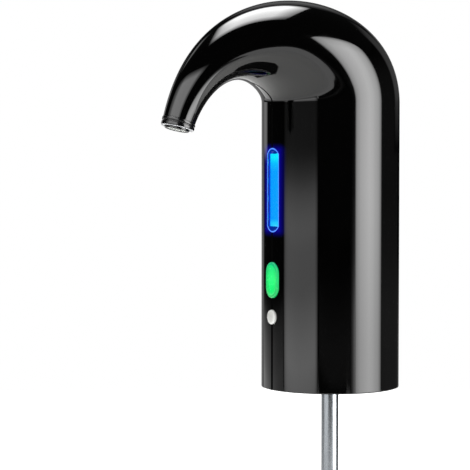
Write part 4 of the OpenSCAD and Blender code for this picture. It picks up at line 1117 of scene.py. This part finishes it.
OVER_Z, OVER_SIDE, OVER_FRONT, OVER_W, OVER_L = 1.18, -0.17, 0.17, 0.9, 1.02
OVER_STRENGTH = 12
OVER_ACROSS = [(0, 0), (0.15, 0.6), (0.35, 1), (0.8, 1), (1, 0.2)]
OVER_ALONG = [(0, 0.2), (0.2, 1), (0.8, 1), (1, 0.1)]


def over_panel():
    """Broad panel overhead, a little behind and to the left."""
    out, side = bearing(0)
    m = Matrix((side, UP, -out)).transposed().to_4x4()
    m.translation = side * OVER_SIDE + out * OVER_FRONT + UP * OVER_Z
    light = emitter("panel_over", OVER_STRENGTH, OVER_ACROSS, OVER_ALONG)
    place_panel("panel_over", OVER_W, OVER_L, m, light)


over_panel()

# Dark cards just above the floor: corners of the near one, to the right and towards the camera, and distances
# and bearings of the far one's
CARD_LIFT = 0.002
NEAR_CARD = [(-0.06, -0.35), (-0.04, 0.04), (0.05, 0.22), (0.1, 0.27), (0.22, 0.24), (0.3, 0.13),
             (0.31, -0.35)]
FAR_CARD = [(1.42, -18), (1.42, 0), (1.42, 12), (1.42, 19), (2.22, 28.5), (2.26, 24), (2.26, 12), (2.26, 0),
            (2.26, -18)]


def dark_card(name, corners):
    """Dark card just above the floor, for reflections."""
    points = [c + UP * (FLOOR_Z + CARD_LIFT) for c in corners]
    hide(stage_face(name, points, surface(name, "0a0a0a", 0.9)), "camera", "diffuse", "shadow")


front, right = bearing(0)
dark_card("card_near", [right * a + front * b for a, b in NEAR_CARD])
dark_card("card_far", [bearing(angle)[0] * far for far, angle in FAR_CARD])


# Glow of the floor's outer part, and the shares of its radius between which it comes up
FLOOR_GLOW, FLOOR_MATT, FLOOR_WHITE = 1.7, 0.3, 0.5


def pale_floor():
    """Matt pale floor that runs out into the white of the backdrop."""
    n = Nodes("pale_floor")
    cloud = n.noise(6, 3.0, 0.5)
    tint = n.ramp(cloud, 0, [(0.3, rgb("efefed")), (0.7, rgb("f4f4f2"))])
    n.link(tint, 0, n.shader, "Base Color")
    n.set(Roughness=0.8)
    white = n.add("ShaderNodeEmission")
    white.inputs["Strength"].default_value = FLOOR_GLOW
    mix = n.add("ShaderNodeMixShader")
    far = n.add("ShaderNodeVectorMath", operation="LENGTH")
    n.link(n.coords, "Object", far, 0)
    fade = n.range(far, "Value", 0, 1, FLOOR_MATT * FLOOR_R, FLOOR_WHITE * FLOOR_R)
    n.link(fade, 0, mix, 0)
    n.link(n.shader, 0, mix, 1)
    n.link(white, 0, mix, 2)
    n.link(mix, 0, n.out, 0)
    return n.mat


stage_face("floor", [(x, y, FLOOR_Z) for x, y in circle(2 * FLOOR_R, FLOOR_STEPS)], pale_floor())

BACKDROP_R = 4.0
WORLD_GREY = (0.012, 0.012, 0.012, 1)
FILL_POWER, FILL_SIZE = 3, 0.8
FILL_PLACE, FILL_AIM = Vector((0.5, -0.7, 0.7)), Vector((0, 0, 0.05))


def add_backdrop():
    """White all round, left out of reflections, and a dim grey world."""
    bm = bmesh.new()
    bmesh.ops.create_uvsphere(bm, u_segments=64, v_segments=32, radius=BACKDROP_R)
    me = bpy.data.meshes.new("backdrop")
    bm.to_mesh(me)
    bm.free()
    me.materials.append(emitter("backdrop_white", 1.0))
    backdrop = add_object("backdrop", me)
    hide(backdrop, "glossy", "diffuse", "shadow")
    world = bpy.data.worlds.new("studio")
    world.use_nodes = True
    world.node_tree.nodes["Background"].inputs["Color"].default_value = WORLD_GREY
    bpy.context.scene.world = world
    bpy.context.scene.view_settings.view_transform = "Standard"


def add_fill():
    """Soft lamp from the front that leaves no reflection."""
    data = bpy.data.lights.new("fill_light", "AREA")
    data.energy = FILL_POWER
    data.size = FILL_SIZE
    lamp = add_object("fill_light", data)
    lamp.location = FILL_PLACE
    lamp.rotation_euler = (FILL_AIM - FILL_PLACE).to_track_quat("-Z", "Y").to_euler()
    hide(lamp, "glossy", "camera")


add_backdrop()
add_fill()
